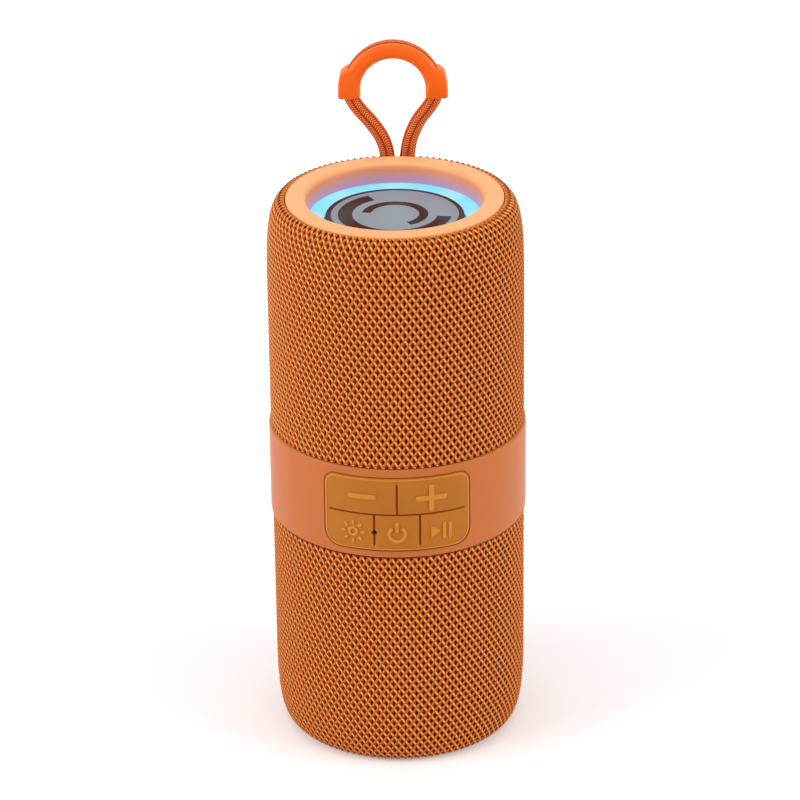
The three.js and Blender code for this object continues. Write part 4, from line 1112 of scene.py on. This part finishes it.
for end, top in (("top", True), ("bottom", False)):
    finished(
        f"{end}_moulded_bezel", turned(at_end(BEZEL, top), 200), bezel_tpu_with_painted_light, "speaker_body",
        [f"{end}_bezel"])
    finished(
        f"{end}_light_guide", turned(at_end(LIGHT, top), 160), light_ring_material,
        "speaker_body", [f"{end}_light_ring"])
    finished(
        f"{end}_printed_disc", turned(at_end(DISC, top), 160), disc_print, f"{end}_radiator",
        [f"{end}_radiator_plate"])
    surround = finished(
        f"{end}_rubber_surround", turned(at_end(SURROUND, top), 120), butyl_rubber, None,
        [f"{end}_radiator_surround"])
    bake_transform(surround)

# %% [markdown]
# ## Band, keypad and port cover
#
# The band is turned, then two windows are cut through it: one in front for the keypad and one behind
# for the cover over the sockets. The keypad is one row of two keys over one row of three. Its grooves
# close up just inside the rim, as if they were pressed into one sheet.

# %% The band
# Widths known straight across are turned to arc length: the pad's at the keys' faces, at this radius
KEY_FACE_R = 40.4
PAD_WIDTH = 2 * BAND_R * math.asin(22.2 / KEY_FACE_R)
PAD_HEIGHT = 24.2
PAD_LOW, PAD_HIGH = MID_Z - PAD_HEIGHT / 2, MID_Z + PAD_HEIGHT / 2
FLAP_WIDTH = 2 * BAND_R * math.asin(17 / BAND_R)
FLAP_HEIGHT = 14
PAD_TOP_CORNER, PAD_LOW_CORNER, FLAP_CORNER = 3.8, 5, 3
PAD_CLEARANCE, FLAP_CLEARANCE = 0.4, 0.3
BAND_INNER_R = 36.35
WINDOW_DEPTHS = (3, -8)


def pad_outline(margin, steps=8):
    """The outline of the whole pad, `margin` millimetres larger all round."""
    return rounded_rectangle(
        PAD_WIDTH + 2 * margin, PAD_HEIGHT + 2 * margin, PAD_TOP_CORNER + margin,
        PAD_LOW_CORNER + margin, MID_Z, steps)


def flap_outline(margin):
    """The outline of the port cover, `margin` millimetres larger all round."""
    corner = FLAP_CORNER + margin
    return rounded_rectangle(
        FLAP_WIDTH + 2 * margin, FLAP_HEIGHT + 2 * margin, corner, corner, MID_Z)


band_shape = turned(filleted([
    (BAND_INNER_R, band_low.z, 0.2), (BAND_R, band_low.z, 0.9), (BAND_R, band_high.z, 0.9),
    (BAND_INNER_R, band_high.z, 0.2)], 6), 216)
pad_window = bent(panel(pad_outline(PAD_CLEARANCE, 10), *WINDOW_DEPTHS), BAND_R, straight=True)
flap_window = bent(panel(flap_outline(FLAP_CLEARANCE), *WINDOW_DEPTHS), BAND_R, behind=True)
band_shape = combined(band_shape, pad_window, "DIFFERENCE")
band_shape = combined(band_shape, flap_window, "DIFFERENCE")
finished("moulded_band", band_shape, band_abs, "speaker_body", ["mid_band"])

# %% [markdown]
# Each key is drawn flat as its part of the pad, rounded along its rim, and given its raised symbol
# before the whole is bent. A symbol is drawn about its own middle and then moved to its place.

# %% Keys and their raised symbols
KEY_FRONT = 0.4
KEY_BACK = -2.0
SYMBOL_FRONT = KEY_FRONT + 0.42
SYMBOL_BACK = KEY_FRONT - 0.3
SYMBOL_EDGE = 0.24
# Half of a groove between two keys, where it is open and where it closes up near the pad's edge
GROOVE = 0.3
CLOSED = 0.02
LIP = 1.6
LOWER_X = BAND_R * math.asin(7.05 / KEY_FACE_R)
MIC_X = -LOWER_X
LOWER_Z = MID_Z - PAD_HEIGHT / 4
PAD_HALF = PAD_WIDTH / 2


def bar(width, height, radius, centre=(0, 0), turn=0.0):
    """A raised bar with round ends, `turn` radians round from upright."""
    x, z = width / 2, height / 2
    outline = filleted([(-x, -z, radius), (x, -z, radius), (x, z, radius), (-x, z, radius)], 4)
    spin = Matrix.Rotation(turn, 2)
    points = [spin @ p + Vector(centre) for p in outline]
    return panel(points, SYMBOL_FRONT, SYMBOL_BACK, SYMBOL_EDGE)


def ring(outer, inner, start=0.0, end=2 * math.pi, steps=28):
    """A raised ring or open arc about the symbol's middle. Angles run from the right, upwards."""
    open_ended = end - start < 2 * math.pi - 0.01
    turns = [start + (end - start) * i / steps for i in range(steps + open_ended)]
    rims = [[(r * math.cos(t), r * math.sin(t)) for t in turns] for r in (outer, inner)]
    bm = bmesh.new()
    rows = [[bm.verts.new((x * MM, -SYMBOL_BACK * MM, z * MM)) for x, z in rim] for rim in rims]
    rear = []
    for i in range(steps):
        j = (i + 1) % len(turns)
        rear.append(bm.faces.new((rows[0][i], rows[0][j], rows[1][j], rows[1][i])))
    thickened(bm, rear, SYMBOL_FRONT, SYMBOL_BACK)
    return eased(bm, rim_edges(bm, SYMBOL_FRONT), SYMBOL_EDGE)


def triangle(width, height, centre):
    x, z = centre
    outline = filleted([
        (x - width / 2, z - height / 2, 0.25), (x + width / 2, z, 0.25),
        (x - width / 2, z + height / 2, 0.25)], 3)
    return panel(outline, SYMBOL_FRONT, SYMBOL_BACK, SYMBOL_EDGE)


RAYS = [
    bar(0.95, 1.5, 0.42, (3.1 * math.sin(k * math.pi / 4), 3.1 * math.cos(k * math.pi / 4)),
        -k * math.pi / 4)
    for k in range(8)
]
HALF_GAP = math.radians(35)
SYMBOLS = {
    "minus": [bar(9, 1.5, 0.72)],
    "plus": [combined(bar(10, 1.6, 0.75), bar(1.6, 9, 0.75), "UNION")],
    "light": [ring(1.65, 0.75), *RAYS],
    "power": [
        ring(3.0, 1.95, math.pi / 2 + HALF_GAP, 5 * math.pi / 2 - HALF_GAP),
        bar(1.06, 3.4, 0.5, (0, 2.2)),
    ],
    "play": [
        triangle(3.0, 4.2, (-1.85, 0)), bar(1.0, 5.5, 0.45, (0.85, 0)),
        bar(1.0, 5.5, 0.45, (2.75, 0)),
    ],
}
# Where each symbol's middle is, as degrees round the band and height in millimetres
PLACES = {
    "minus": (-15.5, 94.4), "plus": (15.3, 93.8), "light": (-19.7, 82.3), "power": (0, 82.1),
    "play": (19.8, 82.3),
}

# %% The keys' outlines
def key_outline(name):
    """The outline of one key as (x, z, radius) corners, anticlockwise from its lower left."""
    side, x = PAD_HALF, LOWER_X
    up, down = MID_Z + GROOVE, MID_Z - GROOVE
    up_c, down_c = MID_Z + CLOSED, MID_Z - CLOSED
    if name == "plus":
        return [
            (GROOVE, up, 0.3), (side - LIP - 0.5, up, 0), (side - LIP, up_c, 0),
            (side, up_c, 0), (side, PAD_HIGH, PAD_TOP_CORNER), (CLOSED, PAD_HIGH, 0),
            (CLOSED, PAD_HIGH - LIP, 0), (GROOVE, PAD_HIGH - LIP - 0.5, 0)]
    if name == "play":
        return [
            (x + CLOSED, PAD_LOW, 0), (side, PAD_LOW, PAD_LOW_CORNER), (side, down_c, 0),
            (side - LIP, down_c, 0), (side - LIP - 0.5, down, 0), (x + GROOVE, down, 0.3),
            (x + GROOVE, PAD_LOW + LIP + 0.5, 0), (x + CLOSED, PAD_LOW + LIP, 0)]
    if name == "power":
        return [
            (-x + CLOSED, PAD_LOW, 0), (x - CLOSED, PAD_LOW, 0), (x - CLOSED, PAD_LOW + LIP, 0),
            (x - GROOVE, PAD_LOW + LIP + 0.5, 0), (x - GROOVE, down, 0.3), (-x + GROOVE, down, 0.3),
            (-x + GROOVE, PAD_LOW + LIP + 0.5, 0), (-x + CLOSED, PAD_LOW + LIP, 0)]
    twin = {"minus": "plus", "light": "play"}[name]
    return [(-a, z, radius) for a, z, radius in reversed(key_outline(twin))]


def on_pad_rim(edge):
    """Whether an edge lies on the outline of the whole pad."""
    middle = (edge.verts[0].co + edge.verts[1].co) / 2 / MM
    x, z = abs(middle.x), abs(middle.z - MID_Z)
    inner = 0.3 + (PAD_LOW_CORNER if middle.z < MID_Z else PAD_TOP_CORNER)
    corner = x > PAD_HALF - inner and z > PAD_HEIGHT / 2 - inner
    return x > PAD_HALF - 0.01 or z > PAD_HEIGHT / 2 - 0.01 or corner


def mic_bar(radius, front):
    """A round bar on the microphone's axis, flat like the keys, with its front at `front`."""
    bm = rod(radius, 4, 0.1, 24)
    quarter_turn(bm, "X")
    return shifted(bm, Vector((MIC_X, 4 - front, LOWER_Z)) * MM)


def key(name):
    tile = panel(filleted(key_outline(name), 8), KEY_FRONT, KEY_BACK)
    eased(tile, [e for e in rim_edges(tile, KEY_FRONT) if on_pad_rim(e)], 0.5, 4)
    tile.normal_update()
    eased(tile, [e for e in rim_edges(tile, KEY_FRONT) if not on_pad_rim(e)], 0.16, 2)
    if name in ("light", "power"):
        tile = combined(tile, mic_bar(0.8, 1.5), "DIFFERENCE")
    return tile


def lip(name):
    """The part of the pad's raised rim that lies on one key, in the lighter silicone as a painted
    highlight.
    """
    outer = panel(pad_outline(-0.25), KEY_FRONT + 0.1, KEY_FRONT - 0.3, rim=0.1, segments=2)
    inner = panel(pad_outline(-0.65), KEY_FRONT + 1, KEY_FRONT - 1)
    reach = panel(filleted(key_outline(name), 8), KEY_FRONT + 1, KEY_BACK)
    return combined(combined(outer, inner, "DIFFERENCE"), reach, "INTERSECT")


for name, (degrees, z) in PLACES.items():
    symbol = joined(*SYMBOLS[name])
    shifted(symbol, (BAND_R * math.radians(degrees) * MM, 0, z * MM))
    finished(
        f"{name}_key", bent(key(name), BAND_R, straight=True), key_silicone, f"key_{name}",
        [f"key_{name}"])
    # The symbols, and the rim in the same lighter silicone as a painted highlight
    finished(
        f"{name}_symbol_and_highlit_lip", bent(joined(symbol, lip(name)), BAND_R, straight=True),
        symbol_and_rim_highlight_silicone, f"key_{name}")

# A black plug in the microphone's hole: painted shade for its dark inside
finished(
    "microphone_port", bent(mic_bar(0.55, KEY_FRONT - 0.25), BAND_R, straight=True), mic_hole_painted_shade,
    "speaker_body")

# %% The mat behind the keys, with ribs that rise between them; their dark brown is painted shade
RIB_FRONT = -0.15
RIB_HALF = 0.24
RIB_ROOT = -3.2
MAT_FRONT, MAT_BACK = -2.85, -3.6


def pad_frame():
    """The mat's rim, which fills the clearance between the keys and the band; its dark brown there is
    painted shade for that gap.
    """
    outer = panel(pad_outline(PAD_CLEARANCE - 0.03), RIB_FRONT, MAT_BACK)
    inner = panel(pad_outline(0.04), 1, RIB_ROOT)
    return combined(outer, inner, "DIFFERENCE")


def keypad_mat():
    base = panel(pad_outline(0), MAT_FRONT, MAT_BACK)
    ribs = [
        (-PAD_HALF + LIP, PAD_HALF - LIP, MID_Z - RIB_HALF, MID_Z + RIB_HALF),
        (-RIB_HALF, RIB_HALF, MID_Z, PAD_HIGH - LIP - 0.4),
        (-LOWER_X - RIB_HALF, -LOWER_X + RIB_HALF, PAD_LOW + LIP + 0.4, MID_Z),
        (LOWER_X - RIB_HALF, LOWER_X + RIB_HALF, PAD_LOW + LIP + 0.4, MID_Z),
    ]
    for x0, x1, z0, z1 in ribs:
        rib = box_between((x0, -RIB_FRONT, z0), (x1, -RIB_ROOT, z1))
        base = combined(base, rib, "UNION")
    return bent(combined(base, pad_frame(), "UNION"), BAND_R, straight=True)


# The mat's ribs and rim fill the grooves and the gap round the pad, dark as painted shade
finished(
    "ribbed_keypad_mat", keypad_mat(), mat_shade_silicone, "speaker_body",
    ["keypad_mat"])

# %% The port cover: a flap of the band's own plastic
cover = bent(panel(flap_outline(0), 0, -1.8, rim=0.35), BAND_R, behind=True)
finished("moulded_port_cover", cover, band_abs, "port_cover", ["port_cover"])

# %% [markdown]
# ## The nodes that keep their mechanical shape
#
# What lies inside keeps its shape from the mechanical model and gets the finish it really has.

# %% Finishes for the model's own nodes
FINISHES = (
    ("surround", butyl_rubber), ("driver_cone", cone_paper), ("board", solder_mask),
    ("cell", cell_wrap), ("screw", zinc_steel), ("basket", zinc_steel), ("magnet", zinc_steel),
    ("usb_socket", zinc_steel), ("card_socket", zinc_steel), ("microphone", butyl_rubber),
)
kept = 0
for name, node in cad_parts.items():
    if node.hide_render:
        continue
    finish = next((made for word, made in FINISHES if word in name), black_abs)
    node.data.materials.clear()
    node.data.materials.append(finish)
    node.data.shade_smooth()
    node.data.set_sharp_from_angle(angle=math.radians(35))
    kept += 1
print("nodes that keep their shape:", kept)

# %% [markdown]
# ## Floor and light
#
# A wide pale floor under a white world, a soft key from the left, a weaker fill from the right and a
# panel overhead. White is seen directly and in reflections, but the light stays plain. The floor also
# glows for the camera and in reflections, painted light that is weaker near the speaker and stronger
# further out.

# %% Floor, world and lamps
def seen_or_mirrored(owner):
    """1 where a ray comes from the camera, a reflection or a refraction."""
    answer = 0.0
    for ray in ("Is Camera Ray", "Is Glossy Ray", "Is Transmission Ray"):
        path = add_node(owner, "LightPath", out=ray)
        answer = add_node(owner, "Math", {0: path, 1: answer}, operation="MAXIMUM")
    return answer


world = bpy.data.worlds.new("studio")
bpy.context.scene.world = world
world.use_nodes = True
sky = world.node_tree.nodes["Background"].inputs
sky["Color"].default_value = (1, 1, 1, 1)
strength = add_node(
    world, "MapRange", {"Value": seen_or_mirrored(world), "To Min": 0.45, "To Max": 1.0})
world.node_tree.links.new(strength, sky["Strength"])

floor_paint = start_material(
    "pale_floor", "#F4F2F2", 0.9, Specular_IOR_Level=0.0, Emission_Color=(1, 1, 1, 1))
place = add_node(floor_paint, "TexCoord", out="Object")
away = add_node(floor_paint, "VectorMath", {0: place}, out="Value", operation="LENGTH")
# Painted light: the floor's glow is weaker near the speaker and stronger further out
floor_glow_by_distance = add_node(floor_paint, "MapRange", {"Value": away, 1: 0.12, 2: 0.7, 3: 0.24, 4: 0.62})
lift = add_node(
    floor_paint, "Math", {0: seen_or_mirrored(floor_paint), 1: floor_glow_by_distance},
    operation="MULTIPLY")
feed(floor_paint, Emission_Strength=lift)

floor_shape = bmesh.new()
bmesh.ops.create_circle(floor_shape, cap_ends=True, segments=64, radius=6)
floor = in_scene("floor", mesh_of("floor", floor_shape))
floor.data.materials.append(floor_paint)

# Each lamp's place and width in metres, and its watts
LAMPS = {
    "key": ((-0.9, -0.35, 0.5), 0.6, 5.5),
    "fill": ((0.9, -0.3, 0.45), 0.6, 4.5),
    "overhead": ((0.0, 0.0, 1.0), 0.8, 3.0),
}
for name, (place, width, watts) in LAMPS.items():
    lamp = bpy.data.lights.new(name, "AREA")
    lamp.size = width
    lamp.energy = watts
    holder = in_scene(name, lamp)
    holder.location = place
    aim = Vector((0, 0, MID_Z * MM)) - Vector(place)
    holder.rotation_euler = aim.to_track_quat("-Z", "Y").to_euler()
bpy.context.scene.view_settings.view_transform = "Standard"
